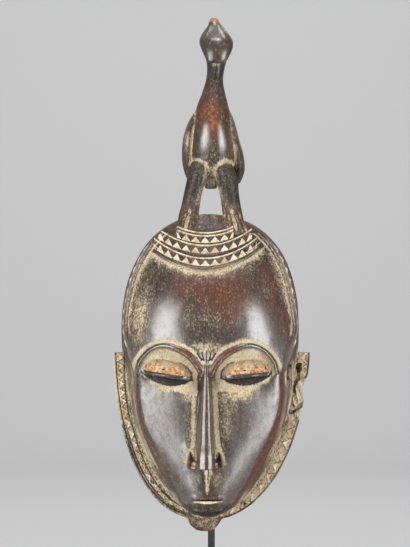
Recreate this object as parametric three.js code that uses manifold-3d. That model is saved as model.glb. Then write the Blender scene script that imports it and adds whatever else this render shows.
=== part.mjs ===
// Face mask with a bird crest, carved from one block of wood, on its steel display stand.
// Millimetres, +Z up, the face looks along -Y. The origin is the centre of the foot's underside.
//
// The mask is drawn in its own terms: x across, from the midline to the viewer's right,
// depth forward from the plane of the back rim, and height above the lug under the chin.

import * as THREE from "three";
import { mergeVertices } from "three/addons/utils/BufferGeometryUtils.js";
import Module from "manifold-3d";

const wasm = await Module();
wasm.setup();

// Driving dimensions of the whole
const LUG_Z = 70;
const RIM_Y = 30;
const SURFACE_GAP = 0.3;
const LEFT = -1;
const RIGHT = 1;
const TINY = 1e-6;
const JOINT_TOLERANCE = 0.02;
const SIDES = [LEFT, RIGHT];

// Head: heights of its stations, and the half-widths of its slightly lopsided outline
const CHIN = 11;
const WIDEST = 172;
const CROWN = 273;
const HALF_WIDTH = { [LEFT]: 75, [RIGHT]: 79.6 };
const CROWN_SQUARENESS = { [LEFT]: 2.17, [RIGHT]: 2.38 };
const JAW_SQUARENESS = 2;
const CROWN_DEPTH = 35;
const CROWN_ROUNDING = 20;
const CHIN_DEPTH = 24;
const CHIN_ROUNDING = 12;

// Depth of the face on the midline, without nose and brows, as height and depth
const MIDLINE = [
  [11, 48], [22, 53], [40, 58], [70, 63.5], [100, 67.5], [128, 72], [150, 79],
  [172, 83.5], [195, 83.5], [215, 79], [235, 69.5], [250, 59], [262, 50], [273, 44],
];

// Edge where the front turns into the side walls: how far it lies inside the outline, and its depth
const EDGE_INSET = {
  [LEFT]: [
    [11, 5], [22, 6], [35, 11], [60, 13], [90, 9.5], [115, 10],
    [137, 13], [155, 8], [174, 3.4], [205, 3.8], [273, 3.6],
  ],
  [RIGHT]: [
    [11, 5], [22, 6], [35, 11], [60, 13], [90, 10], [115, 10],
    [137, 13], [155, 8], [174, 3.2], [205, 5.6], [273, 5],
  ],
};
const EDGE_DEPTH = [
  [11, 34], [40, 44], [80, 51], [115, 55], [137, 58], [155, 54], [174, 48], [205, 44], [240, 37], [273, 34],
];
const FRONT_ROUNDNESS = [[11, 2.4], [100, 2.1], [137, 2.2], [172, 2.6], [273, 2.3]];

// Hollow of the back
const WALL = 12;
const FRONT_WALL = 17;
const HOLLOW_FLOOR = 27;
const HOLLOW_CEILING = 251;
const HOLLOW_MOUTH = 4;

// Toothed border round the jaw. Its chips are placed by number against length down the outline,
// and set in from the outer edge by a margin that changes with height, as their size does
const BORDER_TOP = 153;
const BORDER_FOOT = 7.5;
const BORDER_HALF_WIDTH = { [LEFT]: 82.3, [RIGHT]: 89.5 };
const BORDER_SQUARENESS = { [LEFT]: 2.33, [RIGHT]: 2.1 };
const BORDER_THICKNESS = 12;
const BORDER_OVERLAP = 14;
const CHIP_FILL = 0.47;
const BORDER_CHIP_PLACE = {
  [LEFT]: [[0, 0], [5.94, 46], [8, 66], [11, 97], [18, 171]],
  [RIGHT]: [[0, -3.5], [16, 175]],
};
const BORDER_CHIPS = { [LEFT]: 17, [RIGHT]: 15 };
const BORDER_CHIP_SIZE = {
  [LEFT]: [[20, 2.8], [60, 3.4], [84, 3.6], [100, 4.3], [150, 5.4]],
  [RIGHT]: [[20, 4.2], [60, 4.8], [95, 5.4], [150, 6]],
};
const BORDER_MARGIN = {
  [LEFT]: [[20, 4.4], [60, 4.8], [84, 4.6], [100, 3], [150, 2.8]],
  [RIGHT]: [[20, 2.2], [150, 1.9]],
};
const BORDER_CHIP_DEPTH = 1.6;

// Brows, eyes and sockets, as distance from the nose line and height
const NOSE_X = -0.8;
const BROW_LINE = [
  [60, 136], [58.2, 144.3], [54.7, 150.3], [48.5, 156.5], [40, 160.3], [32, 160.2],
  [25, 158], [18.5, 155], [12.5, 150.3], [7.8, 144.5], [3.2, 136],
];
const BROW_RADIUS = [[0, 1.7], [0.25, 1.7], [0.8, 2.8], [1, 2.8]];
const BROW_RINGS = 16;
const SOCKET_FLOOR = 112;
const SOCKET_RECESS = 7.5;
const SOCKET_INNER = 4;
const EYE_X = 34.3;
const EYE_HEIGHT = 136.5;
const EYE_HALF_LENGTH = 21.5;
const EYE_HALF_HEIGHT = 12.5;
const LOWER_LID = 9.8;
const EYE_BULGE = 8.5;
const SLIT_HEIGHT = 133.9;
const SLIT_SLOPE = { [LEFT]: 0.15, [RIGHT]: 0.085 };
const SLIT_HALF_LENGTH = 20.6;
const SLIT_HALF_HEIGHT = 0.9;
const SLIT_DEPTH = 4;
const NICK_COUNT = 6;
const NICK_FOOT = 146;
const NICK_LENGTH = 9;

// Nose, as height, half-width and depth of the ridge. The ridge has a narrow flat, a bevel to
// each side of it, and a steep flank; how far the bevel reaches is a share of the half-width
const NOSE = [
  [56.4, 8.6, 88], [60, 9.2, 88.6], [69.5, 9.6, 88], [78, 8.8, 86.2], [95, 7.8, 83.5], [112.7, 6.4, 81.3],
  [124, 5, 80.3], [136, 3.6, 80], [145, 2.6, 79.3],
];
const NOSE_LOPSIDED = { [LEFT]: 1.12, [RIGHT]: 0.9 };
const RIDGE_FLAT = 0.13;
const RIDGE_BEVEL = [[54, 0.56], [66, 0.52], [80, 0.44], [100, 0.42], [150, 0.46]];
const BEVEL_SLOPE = 0.42;
const NOSE_FLANK = 1.1;
const WING_X = { [LEFT]: 11.6, [RIGHT]: 9.6 };
const WING_HALF_WIDTH = 5.2;
const WING_HEIGHT = 63.5;
const WING_HALF_HEIGHT = 10.4;
const WING_BULGE = 9.5;
const NOSTRIL_TOP = 70;
const NOSTRIL_FOOT = 57;
const NOSTRIL_APEX = { [LEFT]: 13.6, [RIGHT]: 10.2 };
const NOSTRIL_OUTER = { [LEFT]: 15.6, [RIGHT]: 13.8 };
const NOSTRIL_INNER = { [LEFT]: 5.8, [RIGHT]: 4.4 };
const NOSTRIL_DEPTH = 9;

// Mouth and chin
const MOUTH_HEIGHT = 28.3;
const MOUTH_HALF_WIDTH = 12.4;
const MOUTH_X = 0;
const LIP_RADIUS = 1.9;
const CHIN_ROLL_HEIGHT = 18.4;
const CHIN_ROLL_HALF_WIDTH = 19;

// Lug under the chin
const LUG = [
  [20, -2.6, 12, 12, 9], [13, -2.9, 12, 14.2, 10], [8.5, -2.4, 12, 14.4, 10], [4, -2.9, 12, 12.2, 9],
  [0.5, -2.4, 12, 9, 8], [-1.4, -2.2, 12, 7.4, 7],
];

// Bands of hair over the forehead: lowest height of each line, and how fast it rises to the sides.
// Three lines are grooves with chips below them, and the lowest one is a raised rim
const BAND_LINES = [253.4, 245.3, 234.4];
const BAND_RIM = 225.9;
const BAND_MIDDLE = -2;
const BAND_CURVATURE = 0.0089;
const BAND_REACH = [24, 40, 44];
const BAND_RIM_REACH = 48;
const BAND_GROOVE_RADIUS = 0.9;
const BAND_RIM_RADIUS = 1.5;
const BAND_CHIP_PITCH = 8.2;
const BAND_CHIP_SIZE = [4.9, 4.9, 5.2];
const BAND_CHIP_TOP = [1.3, 1.9, 1.4];
const BAND_CHIP_DEPTH = 1.5;

// Bands of chips down the side walls of the head
const SIDE_CHIPS = 10;
const SIDE_CHIP_LOWEST = 162;
const SIDE_CHIP_PITCH = 9;
const SIDE_CHIP_BEHIND_EDGE = 7;
const SIDE_CHIP_LENGTH = 18;
const SIDE_CHIP_DEPTH = 2;

// Bird: stations of its solids, as height, x, depth, half-width and half-depth
const BIRD_BODY = [
  [304, 4.4, 34, 9, 8], [309, 4.6, 35, 15, 13], [317, 4.8, 36, 19.6, 18],
  [332, 4.6, 36.5, 19.8, 21.5], [345, 4.4, 37.5, 17.6, 22], [357, 4.4, 39, 15.4, 19.5],
  [366, 4.5, 39.5, 13, 16], [376, 5.2, 40, 9.9, 12], [387, 6, 40, 7.3, 9.3], [398, 7.2, 39, 7.6, 9.5],
  [410, 8, 38, 10, 10], [420, 8, 37.5, 9, 9], [428, 7.5, 37, 5, 5],
];
const BIRD_HEAD = [
  [400, 7.5, 54, 7.8, 3.4], [404.6, 7.9, 53, 9.7, 5.8], [410, 8.1, 50.5, 12.2, 8.8],
  [415.5, 7.7, 47.5, 14.1, 11], [420.3, 7.2, 45, 14.3, 12.2], [425, 6.8, 42.6, 12.3, 11.2],
  [429.5, 6.5, 41, 9.1, 9], [433.5, 6.4, 40, 6.3, 6.6],
  [437.2, 5.7, 39.4, 4.3, 5.4], [441.5, 5.5, 39, 2.3, 3],
];
const WING_MIDDLE = 4.8;
const BIRD_WING = {
  [LEFT]: [
    [364, 11.4, 38, 1, 3], [357, 14.4, 37, 3.4, 8], [347, 18.4, 35, 4.8, 12.5], [334, 21.5, 32, 4.9, 15.5],
    [320, 21.8, 29, 4.9, 16], [308, 20.2, 26, 4.3, 14], [299, 17.4, 23.5, 3, 10],
  ],
  [RIGHT]: [
    [364, 11.2, 38, 1, 3], [356, 13.5, 37, 3.1, 8], [346, 16.1, 35, 4, 12.5], [334, 18.8, 32, 4.3, 15.5],
    [325, 21.2, 30, 4.6, 16], [316, 22.4, 28, 4.8, 15.5], [308, 22.1, 26, 4.6, 14], [299, 20, 23.5, 3.2, 10],
  ],
};
const LEG_MIDDLE = 2.75;
const BIRD_LEG = {
  [LEFT]: [
    [318, 8.6, 40, 8.2, 12], [309, 10.4, 42, 8.7, 12.5], [300, 12.5, 41.5, 8.2, 11],
    [290, 15.2, 40, 7.7, 9.2], [280, 17.2, 38.5, 7.9, 8.4], [272, 18.8, 38.5, 8.5, 9],
    [265, 19.4, 41, 9.2, 10.5], [257, 21.4, 44, 9.8, 9],
  ],
  [RIGHT]: [
    [318, 9.4, 40, 8.6, 12], [309, 11.6, 42, 9.3, 12.5], [300, 14, 41.5, 9.4, 11],
    [290, 15.9, 40, 8.2, 9.2], [280, 17.4, 38.5, 8.2, 8.4], [272, 18.8, 38.5, 8.6, 9],
    [265, 19.8, 41, 9.2, 10.5], [257, 22.6, 44, 10.4, 9],
  ],
};
const BIRD_TAIL = [[322, 4, 20, 9, 8], [312, 3.6, 15, 8, 6.5], [303, 3.2, 11, 6.6, 5], [295, 3, 8.5, 5, 3.6]];
const TOE_GROOVES = 3;
const TOE_PITCH = 4.4;
const TOE_SPREAD = 0.02;

// Slot in the viewer's right temple, open towards the side: across, in depth and in height
const TEMPLE_SLOT = { x: [68.1, 72.3], depth: [22, 62], height: [130.2, 143.4] };

// Age: worm hole and breaks in the border, on the viewer's right
const WORM_HOLE = { x: 78.8, height: 140, across: 2.9, deep: 8.5, tall: 5 };
const EDGE_BREAKS = [
  { height: 126.5, bite: 2.6, tall: 6.5 }, { height: 117.5, bite: 2, tall: 5.5 },
  { height: 101, bite: 1, tall: 4 }, { height: 21.5, bite: 1.4, tall: 4 },
];

// Stand
const BAR = 6;
const BAR_X = 3.4;
const BAR_BEHIND_RIM = 1;
const BAR_SOCKET = 12;
const BEND = 9;
const ARM_HEIGHT = 218;
const PRONG_DEPTH = 26;
const SADDLE_WIDTH = 30;
const SADDLE_LENGTH = 9;
const SADDLE_HEIGHT = 232;
const BASE_WIDTH = 130;
const BASE_LENGTH = 110;
const BASE_HEIGHT = 18;
const BASE_CHAMFER = 1.2;

const WOOD = new THREE.MeshStandardMaterial({ color: 0x3a2a20, roughness: 0.45, metalness: 0 });
const STEEL = new THREE.MeshStandardMaterial({ color: 0x45474a, roughness: 0.5, metalness: 0.7 });

// Maths

/** A smooth function through [position, value, ...] rows, held level beyond its ends. */
function through(rows, column = 1) {
  const at = rows.map((row) => row[0]);
  const value = rows.map((row) => row[column]);
  const last = at.length - 1;
  const slope = at.map((_, i) => {
    const before = Math.max(i - 1, 0);
    const after = Math.min(i + 1, last);
    return (value[after] - value[before]) / (at[after] - at[before]);
  });
  const rising = at[last] > at[0];
  return (position) => {
    const low = rising ? at[0] : at[last];
    const high = rising ? at[last] : at[0];
    const p = Math.min(Math.max(position, low), high);
    let i = 0;
    while (i < last - 1 && (rising ? p > at[i + 1] : p < at[i + 1])) i += 1;
    const span = at[i + 1] - at[i];
    const t = (p - at[i]) / span;
    const ease = t * t * (3 - 2 * t);
    const leave = t * (1 - t) * (1 - t) * span * slope[i];
    const arrive = t * t * (t - 1) * span * slope[i + 1];
    return value[i] * (1 - ease) + value[i + 1] * ease + leave + arrive;
  };
}

/** Superellipse quarter: 1 at t = 0, falling to 0 at t = 1. */
function quarter(t, squareness) {
  const inside = 1 - Math.pow(Math.min(Math.abs(t), 1), squareness);
  return Math.pow(Math.max(inside, 0), 1 / squareness);
}

const mix = (a, b, t) => a + (b - a) * t;
const smooth = (t) => t * t * (3 - 2 * t);
const sideOf = (x) => (x < 0 ? LEFT : RIGHT);

/** A point of the mask, given in its own terms, in the part's frame. */
const spot = (x, depth, height) => new THREE.Vector3(x, RIM_Y - depth, LUG_Z + height);

// Solids

/** Turns a closed three.js geometry into a solid, with its faces pointing out. */
function solid(geometry) {
  const bare = geometry.clone();
  bare.deleteAttribute("normal");
  bare.deleteAttribute("uv");
  const merged = mergeVertices(bare, 1e-4);
  const points = merged.attributes.position.array;
  const index = merged.index.array;
  const faces = [];
  let volume = 0;
  const corner = [new THREE.Vector3(), new THREE.Vector3(), new THREE.Vector3()];
  for (let i = 0; i < index.length; i += 3) {
    const face = [index[i], index[i + 1], index[i + 2]];
    const collapsed = face[0] === face[1] || face[1] === face[2] || face[2] === face[0];
    if (!collapsed) {
      face.forEach((vertex, k) => corner[k].fromArray(points, 3 * vertex));
      volume += corner[0].dot(corner[1].clone().cross(corner[2]));
      faces.push(face);
    }
  }
  const facing = volume < 0 ? faces.map(([a, b, c]) => [a, c, b]) : faces;
  const mesh = new wasm.Mesh({
    numProp: 3,
    vertProperties: Float32Array.from(points),
    triVerts: Uint32Array.from(facing.flat()),
    tolerance: JOINT_TOLERANCE,
  });
  return new wasm.Manifold(mesh);
}

/** Moves every vertex of a geometry by a function of its old position. */
function formed(geometry, move) {
  const position = geometry.attributes.position;
  const from = new THREE.Vector3();
  for (let i = 0; i < position.count; i += 1) {
    from.fromBufferAttribute(position, i);
    const to = move(from);
    position.setXYZ(i, to.x, to.y, to.z);
  }
  return geometry;
}

/** A block of cells whose corners, at (u, v, w) from 0 to 1, are placed by a function. */
function block(cellsU, cellsV, cellsW, placed) {
  const box = new THREE.BoxGeometry(1, 1, 1, cellsU, cellsV, cellsW);
  return solid(formed(box, (p) => placed(p.x + 0.5, p.y + 0.5, p.z + 0.5)));
}

/** A plain box between two limits across, in depth and in height. */
function brick(x, depth, height) {
  return block(1, 1, 1, (u, v, w) => {
    const [across, forward, up] = [mix(...x, u), mix(...depth, v), mix(...height, w)];
    return spot(across, forward, up);
  });
}

/** A closed body of rings; ring(t, angle) places a point, and the rings at t = 0 and 1 are points. */
function rings(sides, count, ring) {
  const ball = new THREE.SphereGeometry(1, sides, count);
  return solid(formed(ball, (p) => {
    const t = Math.acos(THREE.MathUtils.clamp(p.y, -1, 1)) / Math.PI;
    const angle = Math.atan2(p.z, p.x);
    return ring(t, angle);
  }));
}

/** A rounded body through stations of [height, x, depth, half-width, half-depth], x from a middle line. */
function limb(stations, sides, count, mirror = 1, middle = 0) {
  const first = stations[0][0];
  const last = stations[stations.length - 1][0];
  const x = through(stations, 1);
  const depth = through(stations, 2);
  const wide = through(stations, 3);
  const deep = through(stations, 4);
  const endLength = 0.12;
  return rings(sides, count, (t, angle) => {
    const along = (1 - Math.cos(Math.PI * t)) / 2;
    const toEnd = Math.min(along, 1 - along, endLength) / endLength;
    const round = Math.sqrt(Math.max(1 - (1 - toEnd) ** 2, 0));
    const height = mix(first, last, along);
    const across = middle + mirror * x(height) + round * wide(height) * Math.cos(angle);
    return spot(across, depth(height) + round * deep(height) * Math.sin(angle), height);
  });
}

/** A bar of round or flat section along a curve. */
function swept(points, steps, section) {
  const path = new THREE.CatmullRomCurve3(points);
  return solid(new THREE.ExtrudeGeometry(section, { steps, extrudePath: path, bevelEnabled: false }));
}

/** A regular section for a swept bar. */
function section(radius, sides) {
  const points = Array.from({ length: sides }, (_, i) => {
    const angle = (2 * Math.PI * (i + 0.5)) / sides;
    return new THREE.Vector2(radius * Math.cos(angle), radius * Math.sin(angle));
  });
  return new THREE.Shape(points);
}

/** A pit or wedge with a three-cornered face, sunk by depth towards its deepest point. */
function pyramid(corners, deepest, lift) {
  const centre = corners.reduce((sum, c) => sum.add(c), new THREE.Vector3()).divideScalar(3);
  const out = centre.clone().sub(deepest).normalize().multiplyScalar(lift);
  const raised = corners.map((c) => c.clone().add(out));
  const points = [...corners, ...raised, deepest];
  const faces = [3, 4, 5, 0, 1, 4, 0, 4, 3, 1, 2, 5, 1, 5, 4, 2, 0, 3, 2, 3, 5, 0, 6, 1, 1, 6, 2, 2, 6, 0];
  const shape = new THREE.BufferGeometry();
  shape.setAttribute("position", new THREE.Float32BufferAttribute(points.flatMap((p) => p.toArray()), 3));
  shape.setIndex(faces);
  return solid(shape);
}

const joined = (parts) => parts.reduce((whole, part) => whole.add(part));

// Outline of the head

function halfWidth(side, height) {
  if (height > WIDEST) {
    const rise = (height - WIDEST) / (CROWN - WIDEST);
    return HALF_WIDTH[side] * quarter(rise, CROWN_SQUARENESS[side]);
  }
  return HALF_WIDTH[side] * quarter((WIDEST - height) / (WIDEST - CHIN), JAW_SQUARENESS);
}

const midline = through(MIDLINE);
const edgeInset = { [LEFT]: through(EDGE_INSET[LEFT]), [RIGHT]: through(EDGE_INSET[RIGHT]) };
const edgeDepthAt = through(EDGE_DEPTH);
const roundness = through(FRONT_ROUNDNESS);

/** How far the rounding of crown and chin has closed at a height: 1 is fully open. */
function openness(height) {
  const fromCrown = (height - (CROWN - CROWN_ROUNDING)) / CROWN_ROUNDING;
  const fromChin = (CHIN + CHIN_ROUNDING - height) / CHIN_ROUNDING;
  return quarter(Math.max(fromCrown, fromChin, 0), 2);
}

const core = (height) => (height > WIDEST ? CROWN_DEPTH : CHIN_DEPTH);
const backDepth = (height) => mix(core(height), 0, openness(height));
const edgeX = (side, height) => {
  const whole = halfWidth(side, height);
  return Math.max(whole - edgeInset[side](height), 0.6 * whole, TINY);
};
const edgeDepth = (height) => mix(core(height), edgeDepthAt(height), openness(height));
const middleDepth = (height) => mix(core(height), midline(height), openness(height));

/** Depth of the carved front at a place, without nose, brows and sockets. */
function frontDepth(x, height) {
  const side = sideOf(x);
  const edge = edgeX(side, height);
  const reach = Math.abs(x) / edge;
  if (reach <= 1) {
    const fall = Math.pow(reach, roundness(height));
    return mix(middleDepth(height), edgeDepth(height), fall);
  }
  const back = Math.min((Math.abs(x) - edge) / Math.max(halfWidth(side, height) - edge, TINY), 1);
  return mix(edgeDepth(height), backDepth(height), back);
}

// Head

function headBlock() {
  const wallCells = 3;
  const frontCells = 18;
  const backCells = 2;
  const total = 2 * wallCells + frontCells + backCells;
  return rings(total, 29, (t, angle) => {
    const turn = ((angle / (2 * Math.PI) + 1) % 1) * total;
    const cell = Math.round(turn);
    const height = mix(CROWN, CHIN, (1 - Math.cos(Math.PI * t)) * 0.25 + t * 0.5);
    const onWall = (side, back) => {
      const x = side * mix(edgeX(side, height), halfWidth(side, height), back);
      return spot(x, mix(edgeDepth(height), backDepth(height), back), height);
    };
    if (cell <= wallCells) {
      return onWall(LEFT, 1 - cell / wallCells);
    }
    if (cell <= wallCells + frontCells) {
      const sweep = ((cell - wallCells) / frontCells) * 2 - 1;
      const spread = Math.sin((sweep * Math.PI) / 2) * 0.5 + sweep * 0.5;
      const x = spread * edgeX(sideOf(spread), height);
      return spot(x, frontDepth(x, height), height);
    }
    if (cell <= 2 * wallCells + frontCells) {
      return onWall(RIGHT, (cell - wallCells - frontCells) / wallCells);
    }
    const across = (cell - 2 * wallCells - frontCells) / backCells;
    return spot(mix(halfWidth(RIGHT, height), -halfWidth(LEFT, height), across), backDepth(height), height);
  });
}

function hollow(drop = 0) {
  const middle = (HOLLOW_CEILING + HOLLOW_FLOOR) / 2;
  const half = (HOLLOW_CEILING - HOLLOW_FLOOR) / 2;
  return rings(18, 14, (t, angle) => {
    const height = middle + half * Math.cos(Math.PI * t);
    const closing = quarter((height - middle) / half, 2.6);
    const side = sideOf(Math.cos(angle));
    const wide = Math.max(halfWidth(side, height) - WALL, 2) * Math.min(closing * 1.6, 1);
    const front = (middleDepth(height) - FRONT_WALL) * closing;
    const forward = Math.sin(angle) > 0;
    const depth = forward ? front * quarter(Math.cos(angle), 2.3) : HOLLOW_MOUTH * Math.sin(angle);
    return spot(wide * Math.cos(angle), depth, height - drop);
  });
}

/** Half-width of the toothed border. */
function borderX(side, height) {
  const drop = (WIDEST - height) / (WIDEST - BORDER_FOOT);
  return BORDER_HALF_WIDTH[side] * quarter(drop, BORDER_SQUARENESS[side]);
}

function border() {
  const outline = new THREE.Shape();
  const steps = 18;
  const heightAt = (i) => mix(BORDER_TOP, BORDER_FOOT, Math.sin(((i / steps) * Math.PI) / 2));
  const inner = (side, i) => Math.max(borderX(side, heightAt(i)) - BORDER_OVERLAP, 0);
  const innerHeight = (i) => heightAt(i) + (i / steps) * BORDER_OVERLAP;
  outline.moveTo(-borderX(LEFT, BORDER_TOP), BORDER_TOP);
  for (let i = 1; i <= steps; i += 1) outline.lineTo(-borderX(LEFT, heightAt(i)), heightAt(i));
  for (let i = steps - 1; i >= 0; i -= 1) outline.lineTo(borderX(RIGHT, heightAt(i)), heightAt(i));
  for (let i = 0; i < steps; i += 1) outline.lineTo(inner(RIGHT, i), innerHeight(i));
  for (let i = steps - 1; i >= 0; i -= 1) outline.lineTo(-inner(LEFT, i), innerHeight(i));
  const plate = new THREE.ExtrudeGeometry(outline, { depth: BORDER_THICKNESS, bevelEnabled: false });
  return solid(formed(plate, (p) => spot(p.x, p.z, p.y)));
}

// Features of the face

const nosePlace = (side, distance) => NOSE_X + side * distance;
const browHeight = through([...BROW_LINE].reverse());

/** Cut that sets the eye back under its brow and runs out onto the cheek. */
function socket(side) {
  const outer = BROW_LINE[0][0];
  return block(11, 1, 5, (u, v, w) => {
    const distance = mix(SOCKET_INNER, outer, u);
    const x = nosePlace(side, distance);
    const height = mix(SOCKET_FLOOR, browHeight(distance), w);
    const recess = SOCKET_RECESS * smooth(Math.min(w * 1.25, 1)) * Math.sqrt(1 - u ** 4 * 0.9);
    const floor = frontDepth(x, height) - recess;
    return spot(x, v < 0.5 ? floor : floor + recess + 12, height);
  });
}

/** A lens-shaped body on an eye's slanting line, reaching different distances up and down. */
function lens(side, sizes, height, depth, sides, count) {
  return rings(sides, count, (t, angle) => {
    const along = sizes.halfLength * Math.cos(Math.PI * t);
    const round = Math.sin(Math.PI * t);
    const rise = Math.cos(angle) > 0 ? sizes.up : sizes.down;
    const level = height + SLIT_SLOPE[side] * along + rise * round * Math.cos(angle);
    return spot(nosePlace(side, EYE_X + along), depth + sizes.deep * round * Math.sin(angle), level);
  });
}

const EYE = { halfLength: EYE_HALF_LENGTH, up: EYE_HALF_HEIGHT, down: LOWER_LID, deep: EYE_BULGE };
const SLIT = { halfLength: SLIT_HALF_LENGTH, up: SLIT_HALF_HEIGHT, down: SLIT_HALF_HEIGHT, deep: SLIT_DEPTH };
const eyeDepth = (side) => frontDepth(nosePlace(side, EYE_X), EYE_HEIGHT) - SOCKET_RECESS;
const eyelid = (side) => lens(side, EYE, EYE_HEIGHT, eyeDepth(side) - 1, 10, 9);
const slit = (side) => lens(side, SLIT, SLIT_HEIGHT - SLIT_HALF_HEIGHT, eyeDepth(side) + EYE_BULGE, 6, 10);

/** A brow, thickening from its outer end to its inner one. */
function brow(side) {
  const line = new THREE.CatmullRomCurve3(BROW_LINE.map(([distance, height]) => {
    const x = nosePlace(side, distance);
    return spot(x, frontDepth(x, height) - 0.4, height);
  }));
  const radius = through(BROW_RADIUS);
  const forward = new THREE.Vector3(0, -1, 0);
  const endLength = 0.06;
  return rings(5, BROW_RINGS, (t, angle) => {
    const toEnd = Math.min(t, 1 - t, endLength) / endLength;
    const size = radius(t) * Math.sqrt(toEnd);
    const across = line.getTangentAt(t).cross(forward).normalize();
    return line.getPointAt(t)
      .addScaledVector(across, size * Math.cos(angle))
      .addScaledVector(forward, size * Math.sin(angle));
  });
}

function nose() {
  const half = through(NOSE, 1);
  const ridge = through(NOSE, 2);
  const bevel = through(RIDGE_BEVEL);
  const foot = NOSE[0][0];
  const root = NOSE[NOSE.length - 1][0];
  const columns = 5;
  return block(columns, 1, 10, (u, v, w) => {
    const height = mix(foot, root, w);
    const side = u < 0.5 ? LEFT : RIGHT;
    const reaches = [RIDGE_FLAT, bevel(height), NOSE_FLANK];
    const step = Math.round(Math.abs(u - 0.5) * columns - 0.5);
    const x = NOSE_X + side * reaches[step] * half(height) * NOSE_LOPSIDED[side];
    const face = frontDepth(x, height);
    const fall = BEVEL_SLOPE * half(height) * (reaches[1] - RIDGE_FLAT);
    const depths = [ridge(height), ridge(height) - fall, face - 5];
    return spot(x, v < 0.5 ? face - 8 : depths[step], height);
  });
}

function noseWing(side) {
  const depth = frontDepth(nosePlace(side, WING_X[side]), WING_HEIGHT);
  return rings(8, 6, (t, angle) => spot(
    nosePlace(side, WING_X[side] + WING_HALF_WIDTH * Math.sin(Math.PI * t) * Math.cos(angle)),
    depth + WING_BULGE * Math.sin(Math.PI * t) * Math.sin(angle),
    WING_HEIGHT + WING_HALF_HEIGHT * Math.cos(Math.PI * t),
  ));
}

function nostril(side) {
  const depth = frontDepth(WING_X[side], WING_HEIGHT) + WING_BULGE;
  const corners = [
    spot(nosePlace(side, NOSTRIL_APEX[side]), depth - 1, NOSTRIL_TOP),
    spot(nosePlace(side, NOSTRIL_OUTER[side]), depth - 2, NOSTRIL_FOOT),
    spot(nosePlace(side, NOSTRIL_INNER[side]), depth + 2, NOSTRIL_FOOT),
  ];
  const deepest = spot(nosePlace(side, WING_X[side]), depth - NOSTRIL_DEPTH, NOSTRIL_FOOT + 2);
  return pyramid(corners, deepest, 8);
}

/** A rounded roll or slot across the lower face; its centre line sags or rises towards its ends. */
function roll({ x, height, depth }, halfWidth, halfHeight, deep, sag, sides, count) {
  return rings(sides, count, (t, angle) => {
    const along = Math.cos(Math.PI * t);
    const round = Math.sin(Math.PI * t);
    const level = height + sag * along * along + halfHeight * round * Math.cos(angle);
    return spot(x + halfWidth * along, depth + deep * round * Math.sin(angle), level);
  });
}

const mouthDepth = frontDepth(MOUTH_X, MOUTH_HEIGHT);
const mouthPlace = (up, back) => ({ x: MOUTH_X, height: MOUTH_HEIGHT + up, depth: mouthDepth - back });
const chinPlace = { x: 0.6, height: CHIN_ROLL_HEIGHT, depth: 38 };
const mouthSlot = roll(mouthPlace(0, 0), MOUTH_HALF_WIDTH, 0.9, 4.5, 0, 6, 8);
const upperLip = roll(mouthPlace(1.8, 1.2), MOUTH_HALF_WIDTH + 1, LIP_RADIUS, 4, -1, 8, 8);
const lowerLip = roll(mouthPlace(-2.6, 1.5), MOUTH_HALF_WIDTH + 1.4, LIP_RADIUS, 4, 2, 8, 8);
const chinRoll = roll(chinPlace, CHIN_ROLL_HALF_WIDTH, 5.2, 15.2, 1.5, 10, 9);
const lug = limb(LUG, 12, 8);

/** One of the short cuts that fan out above the root of the nose. */
function nick(i) {
  const fan = (i / (NICK_COUNT - 1)) * 2 - 1;
  const place = (distance, height) => spot(NOSE_X + distance, frontDepth(distance, height), height);
  const low = place(fan * 4.2, NICK_FOOT);
  const high = place(fan * 7.2, NICK_FOOT + NICK_LENGTH);
  return swept([low, low.clone().lerp(high, 0.5), high], 2, section(0.6, 3));
}

// Bands of chips

/** A band's line as a flat curve of x and height. */
function bandCurve(height, reach) {
  const steps = 24;
  return new THREE.SplineCurve(Array.from({ length: steps + 1 }, (_, i) => {
    const out = reach * (2 * (i / steps) - 1);
    return new THREE.Vector2(BAND_MIDDLE + out, height + BAND_CURVATURE * out ** 2);
  }));
}

function bandRope(height, reach, radius, sunk) {
  const points = bandCurve(height, reach).getSpacedPoints(12);
  return swept(points.map((p) => spot(p.x, frontDepth(p.x, p.y) - sunk, p.y)), 9, section(radius, 4));
}

const bandGroove = (line) => bandRope(BAND_LINES[line], BAND_REACH[line], BAND_GROOVE_RADIUS, 0);
const bandRim = bandRope(BAND_RIM, BAND_RIM_REACH, BAND_RIM_RADIUS, 0.6);

/** Three-cornered chips below a band's line, evenly spaced along it, their points at the line. */
function bandChips(line) {
  const curve = bandCurve(BAND_LINES[line], BAND_REACH[line]);
  const length = curve.getLength();
  const each = Math.floor((length / 2 - 1) / BAND_CHIP_PITCH - 0.5);
  const corner = (along, below) => {
    const { x, y } = curve.getPointAt(0.5 + along / length);
    const lean = Math.hypot(1, 2 * BAND_CURVATURE * (x - BAND_MIDDLE));
    const height = y - below * lean;
    return spot(x, frontDepth(x, height), height);
  };
  const size = BAND_CHIP_SIZE[line];
  const top = BAND_CHIP_TOP[line];
  return Array.from({ length: 2 * each + 1 }, (_, i) => {
    const middle = (i - each) * BAND_CHIP_PITCH;
    const half = CHIP_FILL * BAND_CHIP_PITCH;
    const base = [corner(middle - half, top + size), corner(middle + half, top + size)];
    const deepest = corner(middle, top + 0.65 * size);
    deepest.y += BAND_CHIP_DEPTH;
    return pyramid([corner(middle, top), ...base], deepest, 2);
  });
}

/** Point on a side wall, at a depth behind the edge of the front. */
function wallSpot(side, height, behind, sunk) {
  const edge = edgeDepth(height);
  const back = behind / (edge - backDepth(height));
  const x = side * (mix(edgeX(side, height), halfWidth(side, height), back) - sunk);
  return spot(x, edge - behind, height);
}

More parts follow.
